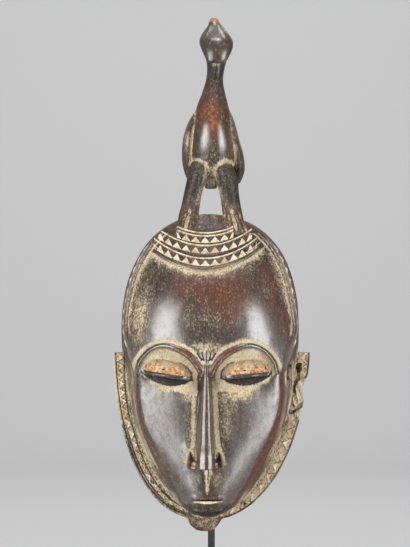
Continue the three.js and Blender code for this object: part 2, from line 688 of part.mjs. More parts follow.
function sideChip(side, i) {
  const height = SIDE_CHIP_LOWEST + i * SIDE_CHIP_PITCH;
  const near = SIDE_CHIP_BEHIND_EDGE;
  const corners = [
    wallSpot(side, height - CHIP_FILL * SIDE_CHIP_PITCH, near, 0),
    wallSpot(side, height + CHIP_FILL * SIDE_CHIP_PITCH, near, 0),
    wallSpot(side, height, near + SIDE_CHIP_LENGTH, 0),
  ];
  return pyramid(corners, wallSpot(side, height, near + SIDE_CHIP_LENGTH / 3, SIDE_CHIP_DEPTH), 2);
}

/** Chips cut in the face of the jaw border: bases towards its outer edge, points inward. */
function borderChips(side) {
  const steps = 60;
  const outline = new THREE.SplineCurve(Array.from({ length: steps + 1 }, (_, i) => {
    const height = mix(BORDER_TOP + 3, BORDER_FOOT, Math.sin(((i / steps) * Math.PI) / 2));
    return new THREE.Vector2(side * borderX(side, height), height);
  }));
  outline.arcLengthDivisions = 600;
  const length = outline.getLength();
  const place = through(BORDER_CHIP_PLACE[side]);
  const size = through(BORDER_CHIP_SIZE[side]);
  const margin = through(BORDER_MARGIN[side]);
  return Array.from({ length: BORDER_CHIPS[side] }, (_, i) => {
    const middle = place(i + 1);
    const half = CHIP_FILL * (place(i + 1.5) - place(i + 0.5));
    const corner = (along, share) => {
      const u = along / length;
      const edge = outline.getPointAt(u);
      const run = outline.getTangentAt(u);
      const inset = margin(edge.y) + share * size(edge.y);
      return edge.add(new THREE.Vector2(side * run.y, -side * run.x).multiplyScalar(inset));
    };
    const face = (p, sunk) => spot(p.x, BORDER_THICKNESS - sunk, p.y);
    const corners = [corner(middle - half, 0), corner(middle + half, 0), corner(middle, 1)];
    return pyramid(corners.map((p) => face(p, 0)), face(corner(middle, 0.3), BORDER_CHIP_DEPTH), 2);
  });
}

// Age

function pit(x, depth, height, across, deep, tall, sides = 8) {
  return rings(sides, 6, (t, angle) => spot(
    x + across * Math.sin(Math.PI * t) * Math.cos(angle),
    depth + deep * Math.sin(Math.PI * t) * Math.sin(angle),
    height + tall * Math.cos(Math.PI * t),
  ));
}

const wormHole = pit(
  WORM_HOLE.x, BORDER_THICKNESS - 1.5, WORM_HOLE.height, WORM_HOLE.across, WORM_HOLE.deep, WORM_HOLE.tall,
);
const edgeBreak = ({ height, bite, tall }) => {
  const middle = BORDER_THICKNESS / 2;
  return pit(borderX(RIGHT, height) + 1, middle, height, bite + 1, BORDER_THICKNESS, tall, 6);
};
const templeSlot = brick(TEMPLE_SLOT.x, TEMPLE_SLOT.depth, TEMPLE_SLOT.height);

// Bird

const leg = (side) => limb(BIRD_LEG[side], 10, 9, side, LEG_MIDDLE);
const wing = (side) => limb(BIRD_WING[side], 10, 9, side, WING_MIDDLE);

function toeGroove(side, i) {
  const offset = (i - (TOE_GROOVES - 1) / 2) * TOE_PITCH;
  const foot = through(BIRD_LEG[side], 1);
  const depth = through(BIRD_LEG[side], 2);
  const deep = through(BIRD_LEG[side], 4);
  const instep = 274;
  const points = [instep, 268, 262, 256].map((height) => {
    const spread = 1 + (instep - height) * TOE_SPREAD;
    return spot(LEG_MIDDLE + side * (foot(height) + offset * spread), depth(height) + deep(height), height);
  });
  return swept(points, 4, section(1.1, 4));
}

const bird = joined([
  limb(BIRD_BODY, 12, 15),
  limb(BIRD_HEAD, 10, 11),
  limb(BIRD_TAIL, 8, 6),
  ...SIDES.map(wing),
  ...SIDES.map(leg),
]);

// Whole mask

const cuts = joined([
  ...SIDES.map(slit),
  ...SIDES.map(nostril),
  ...SIDES.flatMap(borderChips),
  ...SIDES.flatMap((side) => Array.from({ length: SIDE_CHIPS }, (_, i) => sideChip(side, i))),
  ...BAND_LINES.map((_, line) => bandGroove(line)),
  ...BAND_LINES.flatMap((_, line) => bandChips(line)),
  ...Array.from({ length: NICK_COUNT }, (_, i) => nick(i)),
  ...EDGE_BREAKS.map(edgeBreak),
  ...SIDES.flatMap((side) => Array.from({ length: TOE_GROOVES }, (_, i) => toeGroove(side, i))),
  mouthSlot,
  wormHole,
  templeSlot,
]);

const face = headBlock()
  .subtract(joined(SIDES.map(socket)))
  .add(joined([
    ...SIDES.map(eyelid), ...SIDES.map(brow), nose(), ...SIDES.map(noseWing),
    upperLip, lowerLip, chinRoll, lug, border(), bandRim,
  ]));

const mask = face.subtract(hollow()).add(bird).subtract(cuts);

// Stand

/** Side view of the bar: up behind the rim, forward into the hollow, and up to its ceiling. */
function bar() {
  const half = BAR / 2;
  const line = -BAR_BEHIND_RIM - half;
  const outline = new THREE.Shape();
  const foot = BASE_HEIGHT - LUG_Z - BAR_SOCKET + SURFACE_GAP;
  outline.moveTo(line - half, foot);
  outline.lineTo(line - half, ARM_HEIGHT - BEND);
  outline.absarc(line + BEND, ARM_HEIGHT - BEND, BEND + half, Math.PI, Math.PI / 2, true);
  outline.lineTo(PRONG_DEPTH - half, ARM_HEIGHT + half);
  outline.lineTo(PRONG_DEPTH - half, HOLLOW_CEILING);
  outline.lineTo(PRONG_DEPTH + half, HOLLOW_CEILING);
  outline.lineTo(PRONG_DEPTH + half, ARM_HEIGHT - half);
  outline.lineTo(line + BEND, ARM_HEIGHT - half);
  outline.absarc(line + BEND, ARM_HEIGHT - BEND, BEND - half, Math.PI / 2, Math.PI, false);
  outline.lineTo(line + half, foot);
  const shape = new THREE.ExtrudeGeometry(outline, { depth: BAR, bevelEnabled: false, curveSegments: 6 });
  return solid(formed(shape, (p) => spot(BAR_X + p.z - half, p.x, p.y)));
}

function standRod() {
  const halfPad = SADDLE_WIDTH / 2;
  const deep = SADDLE_LENGTH / 2;
  const saddle = brick(
    [BAR_X - halfPad, BAR_X + halfPad],
    [PRONG_DEPTH - deep, PRONG_DEPTH + deep],
    [SADDLE_HEIGHT, HOLLOW_CEILING],
  );
  const below = brick([-100, 100], [-40, 100], [-LUG_Z, SADDLE_HEIGHT]);
  const room = hollow(SURFACE_GAP).add(below);
  return bar().add(saddle).intersect(room);
}

function standBase() {
  const halfWidth = BASE_WIDTH / 2 - BASE_CHAMFER;
  const halfLength = BASE_LENGTH / 2 - BASE_CHAMFER;
  const outline = new THREE.Shape();
  outline.moveTo(-halfWidth, -halfLength);
  outline.lineTo(halfWidth, -halfLength);
  outline.lineTo(halfWidth, halfLength);
  outline.lineTo(-halfWidth, halfLength);
  outline.closePath();
  const slab = new THREE.ExtrudeGeometry(outline, {
    depth: BASE_HEIGHT - 2 * BASE_CHAMFER,
    bevelThickness: BASE_CHAMFER,
    bevelSize: BASE_CHAMFER,
    bevelSegments: 1,
  });
  const wide = BAR / 2 + SURFACE_GAP;
  const line = -BAR_BEHIND_RIM - BAR / 2;
  const socketHole = brick(
    [BAR_X - wide, BAR_X + wide],
    [line - wide, line + wide],
    [BASE_HEIGHT - LUG_Z - BAR_SOCKET, BASE_HEIGHT - LUG_Z + 5],
  );
  return solid(slab.translate(0, 0, BASE_CHAMFER)).subtract(socketHole);
}

/** A named mesh of a finished solid. */
function meshOf(name, body, material) {
  const out = body.getMesh();
  const geometry = new THREE.BufferGeometry();
  geometry.setAttribute("position", new THREE.Float32BufferAttribute(out.vertProperties, 3));
  geometry.setIndex(Array.from(out.triVerts));
  const mesh = new THREE.Mesh(geometry.toNonIndexed(), material);
  mesh.geometry.computeVertexNormals();
  mesh.name = name;
  return mesh;
}

const yaureMask = new THREE.Group();
yaureMask.add(
  meshOf("mask", mask, WOOD),
  meshOf("stand_rod", standRod(), STEEL),
  meshOf("stand_base", standBase(), STEEL),
);
export default yaureMask;
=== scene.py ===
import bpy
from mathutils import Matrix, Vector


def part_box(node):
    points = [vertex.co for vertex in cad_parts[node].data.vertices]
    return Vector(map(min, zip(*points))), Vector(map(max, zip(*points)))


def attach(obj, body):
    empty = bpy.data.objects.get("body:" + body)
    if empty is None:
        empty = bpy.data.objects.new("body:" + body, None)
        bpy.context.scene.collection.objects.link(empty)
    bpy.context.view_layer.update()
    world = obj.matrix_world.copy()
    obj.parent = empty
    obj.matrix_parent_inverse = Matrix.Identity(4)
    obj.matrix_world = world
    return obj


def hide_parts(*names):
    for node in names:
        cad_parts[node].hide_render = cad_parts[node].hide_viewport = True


bl_info = {
    "name": "Yaure mask",
    "version": (1, 0, 0),
    "blender": (4, 5, 0),
    "location": "3D View > Sidebar > Mask",
    "description": "Carves a Yaure face mask with its bird crest, and dresses its steel stand and the stage",
    "category": "Object",
}

import math
from concurrent.futures import ThreadPoolExecutor

import bpy
import numpy as np
from mathutils import Vector

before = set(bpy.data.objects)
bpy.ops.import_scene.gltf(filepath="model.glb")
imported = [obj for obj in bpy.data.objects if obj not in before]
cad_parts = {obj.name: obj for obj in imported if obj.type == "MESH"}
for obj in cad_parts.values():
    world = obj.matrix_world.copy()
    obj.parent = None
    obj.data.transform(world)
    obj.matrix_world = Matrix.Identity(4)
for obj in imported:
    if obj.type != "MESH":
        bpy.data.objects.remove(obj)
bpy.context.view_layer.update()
MASK_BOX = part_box("mask")

# The mask is carved in its own terms, in millimetres: x from the midline to the viewer's right,
# depth forward from the plane of the back rim, and height above the lug under the chin.
MM = 0.001
LUG_FOOT = -1.4
LUG_Z = MASK_BOX[0][2] / MM - LUG_FOOT
RIM_Y = MASK_BOX[1][1] / MM
LEFT = -1
RIGHT = 1
SIDES = (LEFT, RIGHT)

# Head
CHIN = 11.0
WIDEST = 172.0
CROWN = 273.0
HALF_WIDTH = {LEFT: 75.0, RIGHT: 79.6}
CROWN_SQUARENESS = {LEFT: 2.17, RIGHT: 2.38}
JAW_SQUARENESS = 2.0
CROWN_DEPTH = 35.0
CROWN_ROUNDING = 20.0
FRONT_FROM = 24
BIRD_FROM = 248
CHIN_DEPTH = 24.0
CHIN_ROUNDING = 12.0
MIDLINE = [
    (11, 48), (22, 53), (40, 58), (70, 63.5), (100, 67.5), (128, 72), (150, 79),
    (172, 83.5), (195, 83.5), (215, 79), (235, 69.5), (250, 59), (262, 50), (273, 44),
]
EDGE_INSET = {
    LEFT: [
        (11, 5), (22, 6), (35, 11), (60, 13), (90, 9.5), (115, 10),
        (137, 13), (155, 8), (174, 3.4), (205, 3.8), (273, 3.6),
    ],
    RIGHT: [
        (11, 5), (22, 6), (35, 11), (60, 13), (90, 10), (115, 10),
        (137, 13), (155, 8), (174, 3.2), (205, 5.6), (273, 5),
    ],
}
EDGE_DEPTH = [
    (11, 34), (40, 44), (80, 51), (115, 55), (137, 58),
    (155, 54), (174, 48), (205, 44), (240, 37), (273, 34),
]
FRONT_ROUNDNESS = [(11, 2.4), (100, 2.1), (137, 2.2), (172, 2.6), (273, 2.3)]
EDGE_SOFTNESS = [(11, 1.5), (30, 3), (60, 3.8), (125, 3.8), (150, 5), (172, 2.2), (185, 1.4), (273, 2)]

# Hollow of the back
WALL = 12.0
FRONT_WALL = 17.0
HOLLOW_FLOOR = 27.0
HOLLOW_CEILING = 251.0
HOLLOW_SQUARENESS = 2.3
HOLLOW_END_SQUARENESS = 3.4

# Toothed border round the jaw
BORDER_TOP = 153.0
BORDER_FOOT = 7.5
BORDER_HALF_WIDTH = {LEFT: 82.1, RIGHT: 89.3}
BORDER_SQUARENESS = {LEFT: 2.33, RIGHT: 2.1}
BORDER_THICKNESS = 12.0
# Chips counted along the border from its top, as (length along it, chips so far)
BORDER_CHIP_COUNT = {
    LEFT: [(0, 0.04), (46, 5.94), (66, 8.0), (97, 11.0), (175, 18.4)],
    RIGHT: [(0, 0.31), (175, 16.01)],
}
BORDER_LINE = {LEFT: 2.1, RIGHT: 0.4}
BORDER_MARGIN = {
    LEFT: [(20, 4.4), (60, 4.8), (84, 4.6), (100, 3.0), (150, 2.8)],
    RIGHT: [(20, 1.6), (150, 1.5)],
}
BORDER_TOOTH = {
    LEFT: [(20, 2.8), (60, 3.4), (84, 3.6), (100, 4.3), (150, 5.4)],
    RIGHT: [(20, 4.8), (60, 5.5), (95, 6.2), (150, 6.6)],
}
BORDER_CHIP_DEPTH = 1.1

# Brows, eyes and nose, as distance from the nose line and height
NOSE_X = -0.8
BROW_LINE = [
    (60, 136), (58.2, 144.3), (54.7, 150.3), (48.5, 156.5), (40, 160.3), (32, 160.2),
    (25, 158), (18.5, 155), (12.5, 150.3), (7.8, 144.5), (3.2, 136),
]
SOCKET_FLOOR = 112.0
SOCKET_RECESS = 7.5
SOCKET_INNER = 4.0
EYE_X = 34.3
EYE_HEIGHT = 136.5
EYE_HALF_LENGTH = 21.5
EYE_HALF_HEIGHT = 12.5
SLIT_HEIGHT = 133.9
SLIT_SLOPE = {LEFT: 0.15, RIGHT: 0.085}
SLIT_HALF_LENGTH = 20.6
SLIT_HALF_HEIGHT = 0.75
LID_RIM = 1.6
LOWER_LID = 7.2
NICK_COUNT = 5
NICK_CENTRE = 148.8
NOSE_FOOT = 56.4
NOSE_HALF = [
    (NOSE_FOOT, 8.6), (60, 9.2), (69.5, 9.6), (78, 8.8), (95, 7.8),
    (112.7, 6.4), (124, 5), (136, 3.6), (143, 2.8), (150, 2),
]
NOSE_RIDGE = [
    (NOSE_FOOT, 88), (60, 88.6), (69.5, 88), (78, 86.2), (95, 83.5),
    (112.7, 81.3), (124, 80.3), (136, 80), (143, 79.5), (150, 78),
]
RIDGE_FLAT = 0.13
RIDGE_BEVEL = [(54, 0.56), (66, 0.52), (80, 0.44), (100, 0.42), (150, 0.46)]
BEVEL_SLOPE = 0.42
WING_X = {LEFT: 11.6, RIGHT: 9.6}
WING_HEIGHT = 63.5
NOSTRIL_TOP = 70.0
NOSTRIL_APEX = {LEFT: 13.6, RIGHT: 10.2}
NOSTRIL_OUTER = {LEFT: 15.6, RIGHT: 13.8}
NOSTRIL_INNER = {LEFT: 5.8, RIGHT: 4.4}

# Mouth, chin and lug
PHILTRUM_LENGTH = 22
MOUTH_HEIGHT = 28.3
MOUTH_HALF_WIDTH = 12.4
MOUTH_X = 0.0
CHIN_ROLL_HEIGHT = 18.4
CHIN_ROLL_HALF_WIDTH = 19.0
LUG = [
    (20, -2.6, 12, 12, 9), (13, -2.9, 12, 14.2, 10), (8.5, -2.4, 12, 14.4, 10), (4, -2.9, 12, 12.2, 9),
    (0.5, -2.4, 12, 9, 8), (LUG_FOOT, -2.2, 12, 7.4, 7),
]

# Bands of hair over the forehead
BAND_LINES = (253.4, 245.3, 234.4, 225.9)
BAND_MIDDLE = -2.0
BAND_CURVATURE = 0.0089
BAND_REACH = (24.0, 40.0, 44.0, 48.0)
BAND_PITCH = 8.2
BAND_TOOTH = (4.9, 4.9, 5.2)
BAND_TOP = (1.0, 1.9, 1.3)
UPPER_FILLET = 2.7
SIDE_BAND_TOP = 250.0
SIDE_BAND_FOOT = 158.0
SIDE_PITCH = 9.0
SIDE_TOOTH = 18.0
SIDE_BEHIND_EDGE = 7.0

# Slot in the right temple
SLOT_X = 70.2
SLOT_HEIGHT = 136.8
SLOT_HALF_WIDTH = 2.1
SLOT_HALF_HEIGHT = 6.6
SLOT_FLOOR = 22.0

# Bird, as height, x, depth, half-width and half-depth
BIRD_BODY = [
    (304, 4.4, 34, 9, 8), (309, 4.6, 35, 15, 13), (317, 4.8, 36, 19.6, 18), (332, 4.6, 36.5, 19.8, 21.5),
    (345, 4.4, 37.5, 17.6, 22), (357, 4.4, 39, 15.4, 19.5),
    (366, 4.5, 39.5, 13, 16), (376, 5.2, 40, 9.9, 12),
    (387, 6, 40, 7.3, 9.3), (398, 7.2, 39, 7.6, 9.5), (410, 8, 38, 10, 10), (420, 8, 37.5, 9, 9),
    (428, 7.5, 37, 5, 5),
]
BIRD_HEAD = [
    (400, 7.5, 54, 7.8, 3.4), (404.6, 7.9, 53, 9.7, 5.8), (410, 8.1, 50.5, 12.2, 8.8),
    (415.5, 7.7, 47.5, 14.1, 11), (420.3, 7.2, 45, 14.3, 12.2), (425, 6.8, 42.6, 12.3, 11.2),
    (429.5, 6.5, 41, 9.1, 9), (433.5, 6.4, 40, 6.3, 6.6),
    (437.2, 5.7, 39.4, 4.3, 5.4), (441.5, 5.5, 39, 2.3, 3),
]
WING_MIDDLE = 4.8
BIRD_WING = {
    LEFT: [
        (364, 11.4, 38, 1, 3), (357, 14.4, 37, 3.4, 8),
        (347, 18.4, 35, 4.8, 12.5), (334, 21.5, 32, 4.9, 15.5),
        (320, 21.8, 29, 4.9, 16), (308, 20.2, 26, 4.3, 14), (299, 17.4, 23.5, 3, 10),
    ],
    RIGHT: [
        (364, 11.2, 38, 1, 3), (356, 13.5, 37, 3.1, 8),
        (346, 16.1, 35, 4, 12.5), (334, 18.8, 32, 4.3, 15.5),
        (325, 21.2, 30, 4.6, 16), (316, 22.4, 28, 4.8, 15.5),
        (308, 22.1, 26, 4.6, 14), (299, 20.0, 23.5, 3.2, 10),
    ],
}
LEG_MIDDLE = 2.75
BIRD_LEG = {
    LEFT: [
        (318, 8.6, 40, 8.2, 12), (309, 10.4, 42, 8.7, 12.5),
        (300, 12.5, 41.5, 8.2, 11), (290, 15.2, 40, 7.7, 9.2),
        (280, 17.2, 38.5, 7.9, 8.4), (272, 18.8, 38.5, 8.5, 9),
        (265, 19.4, 41, 9.2, 10.5), (257, 21.4, 44, 9.8, 9),
    ],
    RIGHT: [
        (318, 9.4, 40, 8.6, 12), (309, 11.6, 42, 9.3, 12.5),
        (300, 14, 41.5, 9.4, 11), (290, 15.9, 40, 8.2, 9.2),
        (280, 17.4, 38.5, 8.2, 8.4), (272, 18.8, 38.5, 8.6, 9),
        (265, 19.8, 41, 9.2, 10.5), (257, 22.6, 44, 10.4, 9),
    ],
}
BIRD_TAIL = [(322, 4, 20, 9, 8), (312, 3.6, 15, 8, 6.5), (303, 3.2, 11, 6.6, 5), (295, 3, 8.5, 5, 3.6)]


# Maths


def through(rows, column=1):
    """A smooth function through rows of (position, value, ...), held level beyond its ends."""
    rows = sorted(rows)
    at = np.array([row[0] for row in rows], float)
    value = np.array([row[column] for row in rows], float)
    before = np.maximum(np.arange(len(at)) - 1, 0)
    after = np.minimum(np.arange(len(at)) + 1, len(at) - 1)
    slope = (value[after] - value[before]) / (at[after] - at[before])

    def curve(position):
        p = np.clip(position, at[0], at[-1])
        i = np.clip(np.searchsorted(at, p, side="right") - 1, 0, len(at) - 2)
        span = at[i + 1] - at[i]
        t = (p - at[i]) / span
        ease = t * t * (3 - 2 * t)
        leave = t * (1 - t) ** 2 * span * slope[i]
        arrive = t * t * (t - 1) * span * slope[i + 1]
        return value[i] * (1 - ease) + value[i + 1] * ease + leave + arrive

    return curve


def mix(a, b, t):
    return a + (b - a) * t


def smooth(low, high, value):
    """0 below low, 1 above high, with a soft start and end."""
    t = np.clip((value - low) / (high - low), 0, 1)
    return t * t * (3 - 2 * t)


def within(value, start, full, fading, gone):
    """1 from full to fading, 0 before start and after gone, with soft ends."""
    return smooth(start, full, value) * smooth(gone, fading, value)


def larger(a, b, radius):
    """The larger of two fields, rounded where they meet."""
    h = np.clip(0.5 + 0.5 * (a - b) / radius, 0, 1)
    return mix(b, a, h) + radius * h * (1 - h)


def smaller(a, b, radius):
    return -larger(-a, -b, radius)


def quarter(t, squareness):
    inside = 1 - np.minimum(np.abs(t), 1) ** squareness
    return np.maximum(inside, 0) ** (1 / squareness)


def near(distance, reach):
    """1 on a line, fading to 0 some way off it."""
    return np.exp(-((distance / reach) ** 2))


def bump(x, h, centre_x, centre_h, reach_x, reach_h):
    """A soft round patch, 1 at its centre."""
    return np.exp(-(((x - centre_x) / reach_x) ** 2) - ((h - centre_h) / reach_h) ** 2)


def lattice_noise(x, y, z, seed=0):
    """Smooth noise between -1 and 1, one cell per unit."""
    xi = np.floor(x).astype(np.int64)
    yi = np.floor(y).astype(np.int64)
    zi = np.floor(z).astype(np.int64)
    fx, fy, fz = x - xi, y - yi, z - zi
    fx, fy, fz = (f * f * (3 - 2 * f) for f in (fx, fy, fz))

    def corner(dx, dy, dz):
        n = (xi + dx) * 374761393 + (yi + dy) * 668265263 + (zi + dz) * 2147483647 + seed * 144665
        n = (n ^ (n >> 13)) * 1274126177
        return ((n ^ (n >> 16)) & 0xFFFF) / 32767.5 - 1

    below = mix(mix(corner(0, 0, 0), corner(1, 0, 0), fx), mix(corner(0, 1, 0), corner(1, 1, 0), fx), fy)
    above = mix(mix(corner(0, 0, 1), corner(1, 0, 1), fx), mix(corner(0, 1, 1), corner(1, 1, 1), fx), fy)
    return mix(below, above, fz)


def by_side(x, left, right):
    return np.where(x < 0, left, right)


# Outline and plain front of the head

TABLE_STEP = 0.25
TABLE_H = np.arange(-8.0, 300.0, TABLE_STEP)


def table(function):
    """A function of height, looked up from a fine table."""
    values = function(TABLE_H)
    return lambda h: np.interp(h, TABLE_H, values)


def half_width(side):
    def curve(h):
        up = quarter((h - WIDEST) / (CROWN - WIDEST), CROWN_SQUARENESS[side])
        down = quarter((WIDEST - h) / (WIDEST - CHIN), JAW_SQUARENESS)
        return HALF_WIDTH[side] * np.where(h > WIDEST, up, down)

    return curve


HALF = {side: table(half_width(side)) for side in SIDES}
INSET = {side: table(through(EDGE_INSET[side])) for side in SIDES}


def edge_x(side):
    """How far out the front reaches, a millimetre past where it turns into the side wall."""
    def curve(h):
        half = half_width(side)(h)
        return np.maximum(half - through(EDGE_INSET[side])(h), 0.6 * half) + 1

    return curve


EDGE = {side: table(edge_x(side)) for side in SIDES}
MIDDLE = table(through(MIDLINE))
WALL_EDGE_DEPTH = table(through(EDGE_DEPTH))
ROUNDNESS = table(through(FRONT_ROUNDNESS))
SOFTNESS = table(through(EDGE_SOFTNESS))


def plain_front(x, h):
    """Depth of the front before its features are carved."""
    edge = by_side(x, EDGE[LEFT](h), EDGE[RIGHT](h))
    reach = np.minimum(np.abs(x) / edge, 1.6)
    middle = MIDDLE(h)
    return middle - (middle - WALL_EDGE_DEPTH(h)) * reach ** ROUNDNESS(h)


# Lines drawn on the front


class Line:
    """A smooth line on the front, through points of (x, height), that measures places against itself."""

    def __init__(self, points, steps=72):
        points = np.array(points, float)
        along = np.r_[0, np.cumsum(np.hypot(*np.diff(points, axis=0).T))]
        fine = np.linspace(0, along[-1], steps + 1)
        columns = [through(list(zip(along, points[:, k])))(fine) for k in (0, 1)]
        self.points = np.column_stack(columns)
        self.lengths = np.r_[0, np.cumsum(np.hypot(*np.diff(self.points, axis=0).T))]

    def measure(self, x, h, reach=18.0):
        """Distance to the line and length along it, for places within reach of it."""
        best = np.full(x.shape, reach)
        along = np.zeros(x.shape)
        low = self.points.min(0) - reach
        high = self.points.max(0) + reach
        close = (x > low[0]) & (x < high[0]) & (h > low[1]) & (h < high[1])
        px, py = x[close], h[close]
        gap, length = best[close], along[close]
        for i in range(len(self.points) - 1):
            ax, ay = self.points[i]
            bx, by = self.points[i + 1] - self.points[i]
            size = math.hypot(bx, by)
            t = np.clip(((px - ax) * bx + (py - ay) * by) / size**2, 0, 1)
            distance = np.hypot(px - ax - t * bx, py - ay - t * by)
            closer = distance < gap
            gap = np.where(closer, distance, gap)
            length = np.where(closer, self.lengths[i] + t * size, length)
        best[close], along[close] = gap, length
        return best, along


def band_height(line, x):
    return BAND_LINES[line] + BAND_CURVATURE * (x - BAND_MIDDLE) ** 2


def band_offset(line, x, h):
    """Distance above a band's line."""
    slope = 2 * BAND_CURVATURE * (x - BAND_MIDDLE)
    return (h - band_height(line, x)) / np.sqrt(1 + slope**2)


def band_along(x):
    """Length along a band's line from its middle."""
    k = 2 * BAND_CURVATURE
    u = k * (x - BAND_MIDDLE)
    return (u * np.sqrt(1 + u * u) + np.arcsinh(u)) / (2 * k)


def tooth_row(along, down, pitch, height):
    """Distance inside a row of triangular chips, with points at down = 0 and bases at down = height."""
    across = np.abs((along / pitch + 0.5) % 1 - 0.5) * pitch
    half = pitch / 2 * 0.94
    edge = (half * down / height - across) * height / np.hypot(half, height)
    return np.minimum(edge, height - down)


def border_x(side, h):
    return BORDER_HALF_WIDTH[side] * quarter((WIDEST - h) / (WIDEST - BORDER_FOOT), BORDER_SQUARENESS[side])


# Features of the front, each a function of place


BROW = Line(BROW_LINE)
BROW_HEIGHT = through(BROW_LINE)


def eye_place(x, h):
    """Place in an eye: along its length, and height above the opening's line."""
    along = np.abs(x - NOSE_X) - EYE_X
    return along, h - (SLIT_HEIGHT + by_side(x, SLIT_SLOPE[LEFT], SLIT_SLOPE[RIGHT]) * along)


def lid_shape(x, h):
    """1 at an eyeball's middle, 0 at its outline and less beyond. Below the slit it is a crescent."""
    along, above = eye_place(x, h)
    level = np.maximum(above, 0) - (EYE_HEIGHT - SLIT_HEIGHT)
    upper = 1 - np.abs(along / EYE_HALF_LENGTH) ** 2.3 - np.abs(level / EYE_HALF_HEIGHT) ** 2
    reach = 1 - (along / (SLIT_HALF_LENGTH + 0.6)) ** 2
    drop = LOWER_LID * np.maximum(reach, 0.04)
    return upper - np.maximum(upper, 0.3) * (np.minimum(above, 0) / drop) ** 2


def brow_radius(along):
    return mix(1.7, 3.0, smooth(0.25, 0.8, along))


def sockets_and_brows(depth, x, h, sizes):
    distance = np.abs(x - NOSE_X)
    gap, along = BROW.measure(distance, h)
    along = along / BROW.lengths[-1]
    brow_height = BROW_HEIGHT(distance)
    rise = (h - SOCKET_FLOOR) / np.maximum(brow_height - SOCKET_FLOOR, 1)
    out = (distance - SOCKET_INNER) / (BROW_LINE[0][0] - SOCKET_INNER)
    fade = np.sqrt(np.clip(1 - 0.9 * np.clip(out, 0, 1) ** 4, 0, 1)) * smooth(-0.12, 0.05, out)
    fade = fade * smooth(1.04, mix(0.72, 0.95, smooth(130, 142, h)), out)
    step = smooth(0.6, -0.6, h - brow_height)
    recess = SOCKET_RECESS * smooth(0, 0.82, rise) * fade * step
    carved = depth - recess
    radius = brow_radius(along) * sizes["brow"]
    ridge = depth - 0.6 + mix(2.1, 2.5, along) * np.clip(1 - (gap / radius) ** 2, 0, 1) ** 0.6
    ridge = ridge - 6 * smooth(0.85, 1.1, gap / radius)
    ridge = np.where(along > 0.001, ridge, depth - 6)
    return larger(carved, ridge, 0.7)


def eyelids(depth, x, h, sizes):
    along, above = eye_place(x, h)
    inside = lid_shape(x, h)
    socket = plain_front(x, h) - SOCKET_RECESS
    lid = socket - 1.5 + sizes["lid"] * np.sqrt(np.clip(inside, 0, 1)) - 4 * smooth(0, -0.2, inside)
    reach = np.clip(1 - (along / SLIT_HALF_LENGTH) ** 2, 0, 1)
    taper = np.sqrt(reach)
    rim = above / np.maximum(2 * LID_RIM * taper, 0.1)
    bead = np.clip((1.05 - rim) / 0.8, 0, 1) * smooth(0.02, 0.22, rim)
    lid = lid + 1.9 * taper * bead * smooth(0, 0.6, reach)
    lower = smooth(0.2, -0.8, above)
    lid = lid - 0.5 * lower
    half = SLIT_HALF_HEIGHT * taper
    opened = smooth(0.45, -0.25, np.abs(above + half) - half) * smooth(0, 0.1, reach)
    lid = lid - 1.9 * opened
    return larger(depth, lid, 0.9)


def nick(i):
    """One of the short cuts that fan out above the root of the nose."""
    fan = i / (NICK_COUNT - 1) * 2 - 1
    low = (NOSE_X + fan * 4.4, NICK_CENTRE - 1.0 * (1 - abs(fan)))
    high = (NOSE_X + fan * 7.6, NICK_CENTRE + 6.4 - 1.2 * abs(fan))
    return Line([low, high], 1)


NICKS = [nick(i) for i in range(NICK_COUNT)]


def nick_distance(x, h):
    return np.min([cut.measure(x, h, 3)[0] for cut in NICKS], 0)


def nose_root(x, h):
    """1 in the dark notch where the nose runs out between the brows."""
    return smooth(0.9, 0.1, np.abs(x - NOSE_X) - 0.34 * (h - 136)) * within(h, 135, 138, 143.5, 145.5)


def nicks(depth, x, h):
    for cut in NICKS:
        depth = depth - 0.6 * smooth(0.55, 0.1, cut.measure(x, h, 3)[0])
    return depth


def lip_sag(x):
    """Height of the lower lip's edge."""
    reach = np.clip(1 - ((x - MOUTH_X) / MOUTH_HALF_WIDTH) ** 2, 0, 1)
    return MOUTH_HEIGHT - 0.9 - 2.0 * reach


def mouth(depth, x, h):
    across = (x - MOUTH_X) / MOUTH_HALF_WIDTH
    reach = np.clip(1 - across**2, 0, 1)
    depth = depth + bump(x, h, MOUTH_X, MOUTH_HEIGHT + 2.4, 10, 1.8) * 0.8
    lip = smooth(0.3, -0.3, h - MOUTH_HEIGHT) * smooth(-0.4, 0.4, h - lip_sag(x)) * smooth(0, 0.1, reach)
    depth = depth - 0.9 * lip
    slit = smooth(0.9, 0.2, np.abs(h - MOUTH_HEIGHT)) * smooth(0, 0.15, reach)
    depth = depth - 2.2 * slit
    level = h - CHIN_ROLL_HEIGHT - 1.5 * across**2
    inside = 1 - ((x - 0.6) / CHIN_ROLL_HALF_WIDTH) ** 2 - (level / 5.2) ** 2
    roll = 38 + 15.2 * np.sqrt(np.clip(inside, 0, 1)) - 8 * smooth(0, -0.2, inside)
    return larger(depth, roll, 0.8)


def down_philtrum(h):
    """0 at the top of the groove between nose and mouth, 1 at its foot."""
    return np.clip((NOSE_FOOT - 1 - h) / PHILTRUM_LENGTH, 0, 1)


def philtrum_x(h):
    return mix(0.7, -0.4, down_philtrum(h))


def philtrum(depth, x, h):
    half = mix(3.6, 0.4, down_philtrum(h))
    off_line = np.abs(x - philtrum_x(h))
    groove = smooth(half + 1.8, half - 2.0, off_line) * within(h, 31, 35, 54, 59)
    line = smooth(0.8, 0.1, off_line) * within(h, 34, 40, 53, 56)
    return depth - 0.5 * groove - 0.7 * line


def fillet_offsets(line):
    return (0.0, UPPER_FILLET) if line == 0 else (0.0,)


def band_chips(line, x, h):
    """Distance inside the three-cornered chips below a band's line."""
    down = -band_offset(line, x, h) - BAND_TOP[line]
    return tooth_row(band_along(x), down, BAND_PITCH, BAND_TOOTH[line])


def band_reach(line, x):
    return BAND_REACH[line] - np.abs(x - BAND_MIDDLE)


